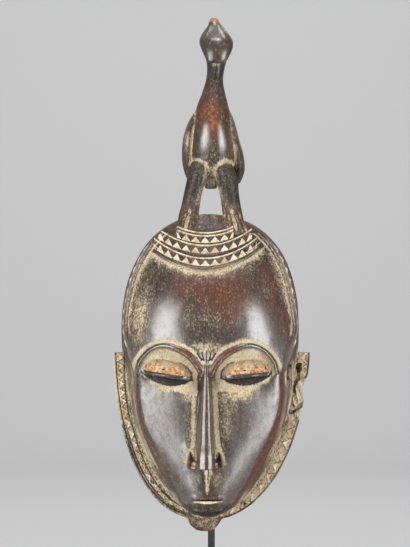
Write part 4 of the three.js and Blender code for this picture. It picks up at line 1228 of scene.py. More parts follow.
def clay_on_face(at):
    """How much pale clay is left on the front, from 0 to 1."""
    x, h, away, rim = at.x, at.h, at.away, at.rim
    brow_height = BROW_HEIGHT(away)
    ragged = lattice_noise(x / 5, x * 0, h / 4, 11)
    low = 117.5 + 0.7 * np.maximum(away - 34, 0) + by_side(x, 1, -1) * 0.05 * (away - 20) + 3 * ragged
    socket = smooth(1.5, -1, h - brow_height) * within(away, 6, 9, 57, 60.5) * smooth(low - 3, low + 6, h)
    halo = near(at.off_brow - 1.8, 2.4) * (h > brow_height - 2)
    foot = by_side(x, *(through(NOSE_CLAY[side])(h) for side in SIDES))
    beside_nose = near(away - foot, 2.5) * within(h, 66, 71, 126, 138)
    beside_wing = near(at.nostril + 2.0, 1.2) * smooth(56.5, 60.5, h) * (away > by_side(x, 5, 4))
    below_rim = smooth(52, 46, np.abs(x)) * most(
        0.8 * near(rim + 4.2, 1.6), 0.4 * smooth(-16, -5, rim) * (rim < -3.5), 0.7 * near(rim - 2.2, 0.6),
    )
    temple_lines = np.maximum(0.85 * near(at.edge - 4.8, 1.0), 0.6 * near(at.edge - 2.0, 0.6))
    below_nose = np.clip((55 - h) / 23, 0, 1)
    wedge = smooth(1.6, -1.4, np.abs(at.off_philtrum) - mix(3.8, 0.6, below_nose))
    wedge = wedge * smooth(30, 34, h) * (h < 56)
    face = most(
        0.97 * socket,
        0.9 * halo,
        by_side(x, 0.84, 1.0) * beside_nose,
        0.85 * beside_wing,
        below_rim,
        smooth(160, 176, h) * (h < 256) * temple_lines,
        0.42 * within(h, 175, 200, 230, 250) * smooth(17, 6, at.edge),
        sum(patches(CLAY_CLOUDS, x, h)),
        wedge * by_side(at.off_philtrum, 0.84, 0.74) * (0.85 + 0.25 * ragged),
        0.12 * smooth(-1, 1, rim) * (h < 272),
    )
    face = face * smooth(-0.5, 0.6, at.off_brow + 3 * (at.along_brow < 0.01)) * at.on_front
    # No clay in the nostrils, which are painted dark as shade.
    face = face * (1 - 0.97 * smooth(-1.1, -0.4, at.nostril))
    ridge = smooth(0.98, 0.8, at.across_nose) * within(h, 56, 59, 141, 146)
    face = face * (1 - 0.95 * np.maximum(ridge, nose_root(x, h)))
    face = np.maximum(face, 0.9 * at.on_front * bump(x, h, NOSE_X, 151.5, 9, 4.5) * (h > 147))
    opening = smooth(-0.06, 0.04, at.lid) * smooth(3.6, 2.8, at.above) * (h > SOCKET_FLOOR)
    return face * (1 - 0.97 * opening)


def border_finish(at):
    """Clay on the border's face, outside its dark teeth, and the dark of its lines."""
    x, depth, h = at.x, at.depth, at.h
    inside = at.carving.rim.at(x, h)
    margin, height = chip_place(x, h)
    end = margin + height
    teeth = smooth(margin - 0.5, margin + 0.3, inside) * smooth(end + 1.2, end + 0.6, inside)
    grit = lattice_noise(x / 1.6, depth / 2, h / 1.8, 15)
    outline = near(at.carving.chips.at(x, h) + 0.5, 0.3) * teeth
    lines = np.maximum(border_lines(x, h, inside), 0.75 * outline)
    worn = worn_border(x, h)
    rim = by_side(x, mix(0.45, 0.97, smooth(80, 105, h)), 0.5)
    strip = 0.5 + 0.34 * lattice_noise(inside / 1.2, depth / 6, h / 9, 13)
    ground = by_side(x, 0.66, 0.75)
    face = mix(mix(rim, ground, teeth), strip, smooth(end, end + 2, inside)) + by_side(x, 0.2, 0.1) * grit
    split = smooth(0.3, 0.6, -fibres(x, h)) + 0.9 * near(inside - 9.6 - 0.7 * grit, 1.1)
    face = mix(face * (1 - 0.9 * lines), 0.55 - 0.5 * split + 0.25 * grit, worn)
    dark = mix(lines, 0.75 * split, worn)
    on_face = smooth(BORDER_THICKNESS + 3, BORDER_THICKNESS + 1, depth) * smooth(3, 7, depth)
    on_face = on_face * (h < BORDER_TOP + 3)
    return on_face * face, on_face * dark


def clay_on_bird(at):
    x, depth, h = at.x, at.depth, at.h
    body = np.abs(BODY.field(x, depth, h))
    to_wing = np.abs(paired(WING, x, depth, h)) + body
    to_leg = np.abs(paired(LEG, x, depth, h)) + body
    out = np.abs(x - LEG_MIDDLE)
    fan = (out - 17.2 - 0.3 * (275 - h)) / (6.4 + 0.14 * (275 - h))
    toes = smooth(284, 274, h) * smooth(1.3, 1.1, np.abs(fan)) * (1 - near((fan * 2.2) % 1 - 0.5, 0.2))
    broken = 0.75 + 0.35 * lattice_noise(x / 2, depth / 4, h / 7, 17)
    return broken * (h > 257) * most(
        0.7 * smooth(1.9, 0.5, to_wing) * smooth(384, 366, h),
        by_side(x - 4, 0.3, 0.5) * smooth(6.5, 1.5, to_wing) * within(h, 318, 328, 352, 374),
        0.95 * smooth(2.7, 0.7, to_leg) * smooth(300, 306, h),
        0.5 * smooth(433.5, 436, h),
        0.95 * near(h - 435.4 + 1.29 * (x - 9.6), 1.1) * (x > 9) * (h > 424),
        sum(patches(BIRD_CLAY, x, h)),
        by_side(x - MIDDLE_OF_BIRD, 0.42, 0.6) * toes,
        0.3 * near(h - 402.5, 1.2),
        0.62 * smooth(6.0, 2.8, out - 4.3 - 0.27 * (300 - h)) * within(h, 274, 284, 308, 316),
        0.4 * bump(x, h, 2.7, 298, 7, 6) * (depth < 30),
        0.6 * within(h, 266, 271, 274, 276) * smooth(13, 9, out) * smooth(24, 29, depth),
    )


def clay(at, on_border):
    x, depth, h = at.x, at.depth, at.h
    blotches = 0.5 + 0.5 * lattice_noise(x / 5, depth / 6, h / 5, 14)
    left = most(
        clay_on_face(at),
        on_border,
        (by_side(x, 0.47, 0.42) + 0.33 * at.streak) * at.jaw,
        (0.22 + 0.32 * blotches) * at.lug,
        0.42 * blotches * at.mound,
        0.12 * at.toes,
        clay_on_bird(at),
        0.1 * (1 - at.on_front),
    )
    left = left * (1 - 0.9 * (x > 12) * at.arris) * (1 - 0.75 * at.lid_corner_shadow)
    slot_frame = near(temple_slot(x, h) - 1.4, 0.9) * (depth > 14) * (depth < 50)
    return np.maximum(left * (1 - at.raw) * (1 - 0.85 * at.slot), 0.95 * slot_frame)


def ochre_on_lids(at):
    """Ochre on the eyelids, the bird's bill and, thinly, its breast."""
    x, h = at.x, at.h
    fleck = lattice_noise(x / 3.5, x * 0, h / 2.2, 16)
    low_on_lid = smooth(12.5, 4.5, at.above) * smooth(23, 9, np.abs(at.eye_along - 3))
    lid = at.on_front * smooth(0.0, 0.35, at.lid) * smooth(2.6, 3.4, at.above)
    lid = lid * (0.3 + 0.85 * low_on_lid + 0.35 * fleck) * (1 - 0.95 * at.notches)
    breast = at.on_bird * smooth(34, 42, at.depth) * sum(patches(CHEST_GLOW, x, h))
    return most(lid, 0.6 * smooth(434, 436.5, h), breast)


def worn_red(at):
    """Where handling has rubbed the stain back to red wood, with painted shadow lines round the eyelids and
    painted shade inside the nostrils.
    """
    x, depth, h, front, bird = at.x, at.depth, at.h, at.on_front, at.on_bird
    # Painted shadow line just inside the eyelid's upper outline, in worn red.
    lid_edge_shadow = front * near(at.lid + 0.03, 0.07) * (at.above > 1)
    red = most(
        1.25 * (x > 12) * at.arris * (0.8 + 0.3 * at.streak),
        (0.5 + 0.3 * at.streak) * (x < -15) * at.arris * within(h, 26, 45, 108, 128),
        front * most(*patches(RED_PATCHES, x, h)),
        front * at.on_brow * smooth(33, 26, at.away),
        0.95 * smooth(2.0, 0.9, np.abs(at.rim)) * front * smooth(34, 20, np.abs(x)),
        0.9 * front * near(x - NOSE_X + 0.1, 0.9) * within(h, 55, 58, 142, 146),
        0.5 * lid_edge_shadow,
        1.4 * bird * bump(x, h, 4, 352, 11, 17) * smooth(34, 42, depth),
        0.75 * bird * bump(x, h, 5, 376, 5, 14),
        (0.35 + 0.3 * at.streak) * at.jaw,
        0.35 * bird * within(h, 366, 380, 385, 400),
        0.3 * at.lug,
        0.7 * front * bump(x, h, 0, 228, 13, 5) * (at.rim > 0),
        0.3 * front * smooth(0, 2, at.rim),
        0.4 * at.mound,
        0.9 * front * near(h - MOUTH_HEIGHT - 2.6, 1.4) * smooth(11, 7, np.abs(x - MOUTH_X)),
        # Dark red-brown inside the nostrils: painted shade in the pits over the red of the wood.
        1.3 * front * smooth(-1.2, -0.4, at.nostril),
        0.25 * at.toes,
        1.3 * at.lid_corner_shadow,
    )
    return np.maximum(red * (1 - at.raw), 0.8 * at.slot)


def dark_and_painted_shade(at, border_lines_dark):
    """Where the wood is dark: slits, lines and cracks; painted shade under the brows, in the nostrils, on the
    flanks of the nose, along its foot and in the temple slot; a painted dark reflection along the nose's
    crest; and the eyelid beads, lighter along their middle as a painted highlight.
    """
    x, depth, h, front, bird, away = at.x, at.depth, at.h, at.on_front, at.on_bird, at.away
    fold = np.abs(away - by_side(x, 10.4, 8.1) - by_side(x, 0.55, 0.34) * (h - 64))
    across = at.across_nose
    # Painted shade on the nose's steep flanks, darkest near the ridge.
    flank_shade = smooth(0.42, 0.5, across) * (smooth(0.85, 0.65, across) + 0.45 * smooth(1.1, 0.95, across))
    jagged = lattice_noise(x / 1.4, x * 0, h / 1.4, 18)
    # Painted shadow under the brows, with a ragged edge.
    brow_shadow = near(at.off_brow - 0.3, 1.0 + 0.8 * jagged) * (h < BROW_HEIGHT(away))
    slit = near(h - MOUTH_HEIGHT - 0.2, 0.6 + 0.9 * np.clip(1 - (x / 12) ** 2, 0, 1))
    crack = np.min([bar_between(x, depth, h, *line) for line in CRACKS], 0)
    dark = most(
        # The bead is lighter along its middle: a painted highlight.
        1.1 * at.bead * (1 - 0.38 * near(at.above - 1.5, 0.8)),
        at.lower_lid * by_side(x, mix(1.05, 0.85, smooth(-2, 12, at.eye_along)), 1.0),
        # Painted shade in the nostrils and along their inner edges.
        smooth(-0.8, 0.2, at.nostril) * front * smooth(2.4, 1.0, fold),
        # Painted shade in the deep left side of the temple slot.
        0.8 * at.slot * (x < SLOT_X - 0.8),
        0.95 * sum(patches(MOUND_SMOKE, x, h)) * at.mound,
        0.8 * bird * within(h, 276, 284, 306, 316),
        0.45 * bird * within(h, 374, 382, 400, 406),
        # Painted dark reflection along the nose's crest, over its worn red line.
        0.4 * front * near(x - NOSE_X, 1.3) * (h > 56) * (h < 140),
        1.4 * front * at.notches,
        0.3 * at.lid_corner_shadow,
        1.05 * brow_shadow * front * smooth(46, 36, np.abs(at.along_brow - 40)),
        front * most(*patches(DARK_PATCHES, x, h)),
        0.8 * front * within(h, 12, 14.5, 21, 23.5),
        0.9 * border_lines_dark,
        flank_shade * front * within(h, 68, 74, 134, 142),
        0.5 * front * smooth(0, 1.5, at.rim) * (h < 258),
        1.1 * front * slit * smooth(13.6, 12.2, np.abs(x - MOUTH_X)),
        2.0 * front * near(at.off_philtrum - 0.2, 0.6) * within(h, 34, 38, 55, 58) * smooth(36, 48, h),
        0.6 * nose_root(x, h) * front,
        # Painted shade along the nose's foot, under its overhang.
        0.9 * front * near(h - NOSE_FOOT + 0.4, 0.9) * (np.abs(x + 3) < 14),
        1.1 * smooth(0.55, 0.15, nick_distance(x, h)) * front,
        smooth(1.2, 0.3, crack),
        0.55 * at.on_brow * smooth(28, 34, away) * front,
    )
    return np.minimum(dark, 1.1)


def dullness(at):
    """How far the polish is lost, from 1, or gained, below 0."""
    x, h, front, bird, away = at.x, at.h, at.on_front, at.on_bird, at.away
    off_highlights = (1 - near(x - 12, 2.4)) * (1 - near(x - 4, 1.8) * smooth(418, 412, h))
    below_mouth = smooth(MOUTH_HEIGHT - 5, MOUTH_HEIGHT - 4, h)
    dull = most(
        0.85 * (1 - front) * (h < 284),
        0.8 * bird * smooth(312, 304, h),
        0.9 * at.mound,
        0.9 * at.toes,
        by_side(x, 0.8, 1.0) * at.arris,
        at.lower_lid,
        0.6 * bird * within(h, 372, 384, 400, 406),
        0.9 * smooth(-1, 1, at.rim) * front,
        0.7 * bird * smooth(14, 17, np.abs(x - WING_MIDDLE)) * (h < 372),
        0.85 * front * smooth(26, 24, h),
        front * most(*patches(DULL_PATCHES, x, h)),
        0.9 * at.slot,
        at.lug,
        0.95 * front * below_mouth * smooth(35, 32.5, h) * smooth(11, 8, np.abs(x - MOUTH_X)),
        0.4 * bird * smooth(404, 408, h) * off_highlights,
        0.6 * at.on_brow * smooth(32, 24, away),
        0.9 * bird * within(h, 346, 352, 376, 384),
        0.9 * bird * smooth(331, 325, h),
        1.6 * front * near(at.off_philtrum, 3.4) * smooth(30, 34, h) * (h < NOSE_FOOT),
        1.2 * front * at.notches,
        0.85 * front * smooth(0.9, 0.98, at.across_nose) * within(h, 66, 70, 134, 142) * (away < 14),
    )
    polished = most(
        bump(away, h, 5.2, 60, 3, 60) * within(h, 56, 58, 130, 140) * smooth(0.75, 0.5, at.across_nose),
        at.bead,
        at.on_brow * smooth(28, 36, away),
        bump(away, h, 12.8, 38, 4, 9),
        *patches(POLISHED_PATCHES, x, h),
        bird * near(x - 12, 1.8) * within(h, 408, 412, 428, 432),
    )
    return np.clip(dull - 0.6 * polished, -0.6, 1)


def white_filling(at):
    """Distance inside the chips and fine lines that keep their white filling."""
    x, depth, h = at.x, at.depth, at.h
    bands = np.full(x.shape, -3.0)
    for line in range(len(BAND_LINES) - 1):
        offset = band_offset(line, x, h)
        fillets = 0.62 - np.min([np.abs(offset - shift) for shift in fillet_offsets(line)], 0)
        chips = band_chips(line, x, h) + 0.1
        bands = np.maximum(bands, np.minimum(np.maximum(chips, fillets), band_reach(line, x)))
    pale = np.where(at.behind > -6.5, bands, -3)
    on_border = (depth < BORDER_THICKNESS + 1.5) & (depth > BORDER_THICKNESS - 3.5) & (h < BORDER_TOP)
    border_chip = at.carving.chips.at(x, h) + 0.1 - 3 * worn_border(x, h)
    pale = np.where(on_border, np.maximum(pale, border_chip), pale)
    behind_edge = WALL_EDGE_DEPTH(h) - depth - SIDE_BEHIND_EDGE
    wall_chip = tooth_row(h, SIDE_TOOTH - behind_edge, SIDE_PITCH, SIDE_TOOTH)
    on_wall = (behind_edge > -1) & (h > SIDE_BAND_FOOT) & (h < SIDE_BAND_TOP) & (at.hollow > 4)
    pale = np.where(on_wall, np.maximum(pale, wall_chip), pale)
    lip = np.minimum(MOUTH_HEIGHT - 0.7 - h, h - lip_sag(x) + 0.1)
    lip = np.minimum(lip, MOUTH_HALF_WIDTH - np.abs(x - MOUTH_X))
    pale = np.where(depth > 42, np.maximum(pale, lip), pale)
    across = (at.away - by_side(x, 11.2, 8.6)) / by_side(x, 1.9, 1.2)
    spot = np.hypot(across, (h - 58.9) / by_side(x, 3.0, 2.0))
    return np.where((depth > 58) & (depth < 86), np.maximum(pale, 1.1 - spot), pale)


def hollows_and_edges(carving, points, normal):
    """How hollow or how proud the surface is at each point, from 0 to 1."""
    reach = 2.0
    outward = evaluate(carving.field, points + reach * normal)
    inward = evaluate(carving.field, points - reach * normal)
    cavity = np.clip(1 - outward / reach, 0, 1)
    proud = np.clip(1 + inward / reach, 0, 1)
    x, depth, h = points.T
    # No clay settles in the nostrils, which are painted dark as shade.
    return cavity * (1 - smooth(-1.2, -0.2, nostril(x, h)) * (depth > 50)), proud


def finish_values(carving, points, normal):
    """Where the wood has kept residue, gone red with handling, stayed dark or dull, or was never stained,
    with painted shade and a painted highlight among the red and dark.
    """
    at = Surface(carving, points)
    border_clay, border_dark = border_finish(at)
    cavity, proud = hollows_and_edges(carving, points, normal)
    return {
        "kaolin": clay(at, border_clay),
        "red": worn_red(at),
        "dark": dark_and_painted_shade(at, border_dark),
        "lid": ochre_on_lids(at),
        "raw": np.maximum(at.raw, 0.9 * at.bare),
        "bare": at.bare,
        "dull": dullness(at),
        "pale": white_filling(at),
        "cavity": cavity,
        "proud": proud,
    }


# Materials


class Nodes:
    """Short ways to place and join the nodes of one tree."""

    def __init__(self, tree):
        self.tree = tree
        tree.nodes.clear()

    def node(self, kind, **settings):
        node = self.tree.nodes.new(kind)
        for name, value in settings.items():
            setattr(node, name, value)
        return node

    def put(self, socket, value):
        if isinstance(value, bpy.types.NodeSocket):
            self.tree.links.new(value, socket)
        else:
            socket.default_value = value

    def math(self, operation, a, b=0.0, clamp=False):
        node = self.node("ShaderNodeMath", operation=operation, use_clamp=clamp)
        self.put(node.inputs[0], a)
        self.put(node.inputs[1], b)
        return node.outputs[0]

    def plus(self, a, b, clamp=False):
        return self.math("ADD", a, b, clamp)

    def minus(self, a, b):
        return self.math("SUBTRACT", a, b)

    def times(self, a, b, clamp=False):
        return self.math("MULTIPLY", a, b, clamp)

    def most(self, a, b):
        return self.math("MAXIMUM", a, b)

    def noise(self, place, scale, detail=3.0, roughness=0.55):
        node = self.node("ShaderNodeTexNoise")
        self.put(node.inputs["Vector"], place)
        self.put(node.inputs["Scale"], scale)
        self.put(node.inputs["Detail"], detail)
        self.put(node.inputs["Roughness"], roughness)
        return node.outputs["Fac"]

    def stretched(self, place, scale):
        node = self.node("ShaderNodeVectorMath", operation="MULTIPLY")
        self.put(node.inputs[0], place)
        self.put(node.inputs[1], scale)
        return node.outputs["Vector"]

    def between(self, value, low, high, to_low=0.0, to_high=1.0):
        node = self.node("ShaderNodeMapRange", interpolation_type="SMOOTHSTEP")
        for socket, given in enumerate((value, low, high, to_low, to_high)):
            self.put(node.inputs[socket], given)
        return node.outputs["Result"]

    def mix(self, amount, a, b):
        node = self.node("ShaderNodeMix", data_type="RGBA")
        self.put(node.inputs["Factor"], amount)
        self.put(node.inputs["A"], a)
        self.put(node.inputs["B"], b)
        return node.outputs["Result"]

    def blend(self, amount, a, b):
        node = self.node("ShaderNodeMix", data_type="FLOAT")
        self.put(node.inputs[0], amount)
        self.put(node.inputs[2], a)
        self.put(node.inputs[3], b)
        return node.outputs[0]

    def field(self, name):
        return self.node("ShaderNodeAttribute", attribute_type="GEOMETRY", attribute_name=name).outputs["Fac"]

    def group(self, tree, **inputs):
        node = self.node("ShaderNodeGroup", node_tree=tree)
        for name, value in inputs.items():
            self.put(node.inputs[name.replace("_", " ").capitalize()], value)
        return node.outputs[0]


def group_tree(name, inputs, output):
    tree = bpy.data.node_groups.new(name, "ShaderNodeTree")
    for label, kind, default in inputs:
        socket = tree.interface.new_socket(label, in_out="INPUT", socket_type=kind)
        if default is not None:
            socket.default_value = default
    tree.interface.new_socket(output, in_out="OUTPUT", socket_type="NodeSocketFloat")
    return tree


def speckle_group():
    """Mask of a residue or stain that breaks up into specks where it is thin."""
    inputs = [
        ("Place", "NodeSocketVector", None), ("Density", "NodeSocketFloat", 0.5),
        ("Scale", "NodeSocketFloat", 500.0), ("Softness", "NodeSocketFloat", 0.2),
    ]
    tree = group_tree("Speckled residue", inputs, "Mask")
    nodes = Nodes(tree)
    given = nodes.node("NodeGroupInput").outputs
    coarse = nodes.noise(given["Place"], nodes.times(given["Scale"], 0.28), 2.0, 0.6)
    fine = nodes.noise(given["Place"], given["Scale"], 2.0, 0.7)
    pattern = nodes.blend(0.75, coarse, fine)
    spread = nodes.between(pattern, 0.3, 0.7)
    edge = nodes.minus(1.0, given["Density"])
    low = nodes.minus(edge, given["Softness"])
    high = nodes.plus(edge, given["Softness"])
    mask = nodes.between(spread, low, high)
    gate = nodes.between(given["Density"], 0.0, 0.08)
    out = nodes.node("NodeGroupOutput")
    nodes.put(out.inputs[0], nodes.times(mask, gate))
    return tree


def grain_group():
    """Long streaks that run up the object, such as wood grain or drawn steel."""
    inputs = [
        ("Place", "NodeSocketVector", None), ("Scale", "NodeSocketFloat", 120.0),
        ("Length", "NodeSocketFloat", 10.0),
    ]
    tree = group_tree("Upright grain", inputs, "Value")
    nodes = Nodes(tree)
    given = nodes.node("NodeGroupInput").outputs
    squeeze = nodes.node("ShaderNodeCombineXYZ")
    nodes.put(squeeze.inputs["X"], 1.0)
    nodes.put(squeeze.inputs["Y"], 1.0)
    nodes.put(squeeze.inputs["Z"], nodes.math("DIVIDE", 1.0, given["Length"]))
    place = nodes.stretched(given["Place"], squeeze.outputs["Vector"])
    streaks = nodes.noise(place, given["Scale"], 4.0, 0.62)
    out = nodes.node("NodeGroupOutput")
    nodes.put(out.inputs[0], nodes.between(streaks, 0.32, 0.68))
    return tree


def shader(nodes, colour, roughness, height, lift, metallic=0.0):
    """The shader itself with a bump, and its output."""
    bump_node = nodes.node("ShaderNodeBump")
    nodes.put(bump_node.inputs["Strength"], 1.0)
    nodes.put(bump_node.inputs["Distance"], lift)
    nodes.put(bump_node.inputs["Height"], height)
    surface = nodes.node("ShaderNodeBsdfPrincipled")
    nodes.put(surface.inputs["Base Color"], colour)
    nodes.put(surface.inputs["Roughness"], roughness)
    nodes.put(surface.inputs["Metallic"], metallic)
    nodes.put(surface.inputs["Normal"], bump_node.outputs["Normal"])
    out = nodes.node("ShaderNodeOutputMaterial")
    nodes.put(out.inputs["Surface"], surface.outputs["BSDF"])
    return surface


def carved_wood(colours, speckle, grain):
    material = bpy.data.materials.new("Patinated wood")
    material.use_nodes = True
    nodes = Nodes(material.node_tree)
    place = nodes.node("ShaderNodeTexCoord").outputs["Object"]
    upright = nodes.stretched(place, (1.0, 1.0, 0.62))
    kaolin, red, dark, lid = (nodes.field(name) for name in ("kaolin", "red", "dark", "lid"))
    raw, pale, dull, bare = (nodes.field(name) for name in ("raw", "pale", "dull", "bare"))
    cavity, proud = (nodes.field(name) for name in ("cavity", "proud"))

    streaks = nodes.group(grain, place=place, scale=320.0, length=7.0)
    clouds = nodes.between(nodes.noise(place, 42.0, 4.0, 0.6), 0.36, 0.66)
    grit = nodes.between(nodes.noise(upright, 850.0, 3.0, 0.7), 0.38, 0.62)
    stain = nodes.plus(nodes.times(streaks, 0.4), nodes.times(clouds, 0.3))
    stain = nodes.plus(stain, nodes.times(grit, 0.35))
    colour = nodes.mix(stain, colours["patina"], colours["brown"])

    red_mask = nodes.group(speckle, place=upright, density=red, scale=240.0, softness=0.5)
    worn_red = nodes.mix(nodes.blend(0.5, streaks, grit), colours["red"], colours["red_dark"])
    colour = nodes.mix(nodes.times(red_mask, 0.9), colour, worn_red)
    edge = nodes.plus(proud, nodes.times(clouds, 0.3))
    colour = nodes.mix(nodes.between(edge, 0.55, 1.05, 0.0, 0.65), colour, colours["rubbed"])

    raw_wood = nodes.mix(streaks, colours["raw"], colours["raw_dark"])
    raw_wood = nodes.mix(bare, raw_wood, nodes.mix(nodes.times(grit, 0.5), colours["broken"], colours["raw"]))
    raw_mask = nodes.between(nodes.plus(raw, nodes.times(clouds, 0.3)), 0.45, 0.85)
    colour = nodes.mix(raw_mask, colour, raw_wood)

    smoke = nodes.group(speckle, place=upright, density=dark, scale=300.0, softness=0.6)
    smoke = nodes.most(nodes.times(smoke, 0.9), nodes.between(dark, 0.95, 1.08))
    colour = nodes.mix(smoke, colour, colours["dark"])

    settled = nodes.times(nodes.between(cavity, 0.08, 0.6), 0.8)
    settled = nodes.times(settled, nodes.minus(1.0, dark))
    density = nodes.most(nodes.most(kaolin, settled), 0.15)
    kaolin_mask = nodes.group(speckle, place=upright, density=density, scale=820.0, softness=0.3)
    film = nodes.between(density, 0.12, 0.95, 0.0, 0.4)
    kaolin_mask = nodes.plus(nodes.times(kaolin_mask, 0.85), film, clamp=True)
    cover = nodes.between(density, 0.15, 0.7, 0.42, 0.95)
    kaolin_mask = nodes.times(kaolin_mask, nodes.times(cover, nodes.between(dark, 0.9, 1.1, 1.0, 0.0)))
    kaolin_colour = nodes.mix(nodes.blend(0.6, clouds, grit), colours["kaolin"], colours["kaolin_warm"])
    colour = nodes.mix(kaolin_mask, colour, kaolin_colour)

    rubbed_ochre = nodes.between(nodes.noise(place, 420.0, 4.0, 0.75), 0.42, 0.58)
    rubbed_ochre = nodes.times(rubbed_ochre, nodes.between(lid, 0.45, 0.8))
    ochre = nodes.mix(rubbed_ochre, colours["lid"], colours["lid_light"])
    lid_mask = nodes.group(speckle, place=place, density=lid, scale=330.0, softness=0.55)
    colour = nodes.mix(nodes.times(lid_mask, 0.9), colour, ochre)
    specks = nodes.between(nodes.noise(place, 480.0, 2.0, 0.6), 0.55, 0.64)
    colour = nodes.mix(nodes.times(nodes.times(specks, lid), 0.75), colour, colours["red"])

    ragged = nodes.times(nodes.minus(nodes.noise(place, 800.0, 2.0, 0.6), 0.5), 1.0)
    pale_mask = nodes.between(nodes.plus(pale, ragged), -0.15, 0.25)
    kept = nodes.group(speckle, place=place, density=0.8, scale=420.0, softness=0.4)
    pale_mask = nodes.times(pale_mask, nodes.blend(kept, 0.45, 1.0))
    browned = nodes.between(nodes.noise(place, 130.0, 3.0, 0.6), 0.42, 0.64)
    colour = nodes.mix(pale_mask, colour, nodes.mix(browned, colours["pale"], colours["pale_warm"]))

    chalky = nodes.most(kaolin_mask, nodes.most(pale_mask, raw))
    chalky = nodes.most(chalky, nodes.times(lid_mask, 0.7))
    roughness = nodes.blend(dull, nodes.blend(clouds, 0.32, 0.46), 0.66)
    roughness = nodes.blend(chalky, roughness, 0.78)
    pores = nodes.noise(upright, 1300.0, 2.0, 0.6)
    height = nodes.plus(nodes.times(pores, 0.7), nodes.times(streaks, 0.4))
    height = nodes.plus(height, nodes.times(kaolin_mask, 0.5))
    surface = shader(nodes, colour, roughness, height, 0.0003)
    surface.inputs["Specular IOR Level"].default_value = 0.4
    handled = nodes.between(nodes.noise(upright, 240.0, 5.0, 0.75), 0.36, 0.58, 0.6, 1.0)
    polish = nodes.times(nodes.between(chalky, 0.0, 0.7, 0.95, 0.0), handled)
    nodes.put(surface.inputs["Coat Weight"], nodes.times(polish, nodes.minus(1.0, dull), clamp=True))
    surface.inputs["Coat Roughness"].default_value = 0.28
    surface.inputs["Coat IOR"].default_value = 2.1
    return material


def stand_steel(name, colours, speckle, grain, wear):
    material = bpy.data.materials.new(name)
    material.use_nodes = True
    nodes = Nodes(material.node_tree)
    place = nodes.node("ShaderNodeTexCoord").outputs["Object"]
    streaks = nodes.group(grain, place=place, scale=700.0, length=30.0)
    clouds = nodes.between(nodes.noise(place, 45.0, 4.0, 0.6), 0.35, 0.7)
    dust = nodes.group(speckle, place=place, density=wear, scale=900.0, softness=0.3)
    colour = nodes.mix(nodes.times(streaks, 0.5), colours["steel"], colours["steel_light"])
    colour = nodes.mix(nodes.times(clouds, 0.3), colour, colours["steel_brown"])
    colour = nodes.mix(nodes.times(dust, 0.5), colour, colours["steel_dust"])
    roughness = nodes.blend(clouds, 0.42, 0.58)
    roughness = nodes.blend(dust, roughness, 0.8)
    height = nodes.plus(nodes.times(streaks, 0.5), nodes.times(dust, 0.3))
    shader(nodes, colour, roughness, height, 0.00006, nodes.blend(dust, 0.75, 0.2))
    return material


def backdrop_paper(colour):
    material = bpy.data.materials.new("Backdrop paper")
    material.use_nodes = True
    nodes = Nodes(material.node_tree)
    place = nodes.node("ShaderNodeTexCoord").outputs["Object"]
    fibre = nodes.noise(place, 240.0, 3.0, 0.6)
    tone = nodes.mix(nodes.times(fibre, 0.06), colour, (0.5, 0.5, 0.5, 1))
    shader(nodes, tone, 0.9, fibre, 0.00005)
    return material


# What a user may change


def number_property(name, description, default, low, high):
    return bpy.props.FloatProperty(name=name, description=description, default=default, min=low, max=high)


def length_property(name, description, default):
    return bpy.props.FloatProperty(
        name=name, description=description, default=default, subtype="DISTANCE", unit="LENGTH",
    )


def colour_property(name, description, default):
    return bpy.props.FloatVectorProperty(
        name=name, description=description, subtype="COLOR", size=4, min=0, max=1, default=(*default, 1),
    )


class MaskSizes(bpy.types.PropertyGroup):
    brow: number_property("Brow fullness", "Thickness of the brows against the carved ones", 1.0, 0.5, 1.5)
    lid: number_property("Eyelid bulge", "How far an eyelid swells, in millimetres", 8.5, 3, 11)
    tooth: number_property("Chip depth", "Depth of the chips against the carved one", 1.0, 0.3, 1.5)
    undulation: number_property("Tool marks", "Height of the tool marks, in millimetres", 0.16, 0, 0.5)
    triangles: bpy.props.IntProperty(
        name="Triangles", description="Most triangles in the mask", default=197000, min=20000, max=199000,
    )


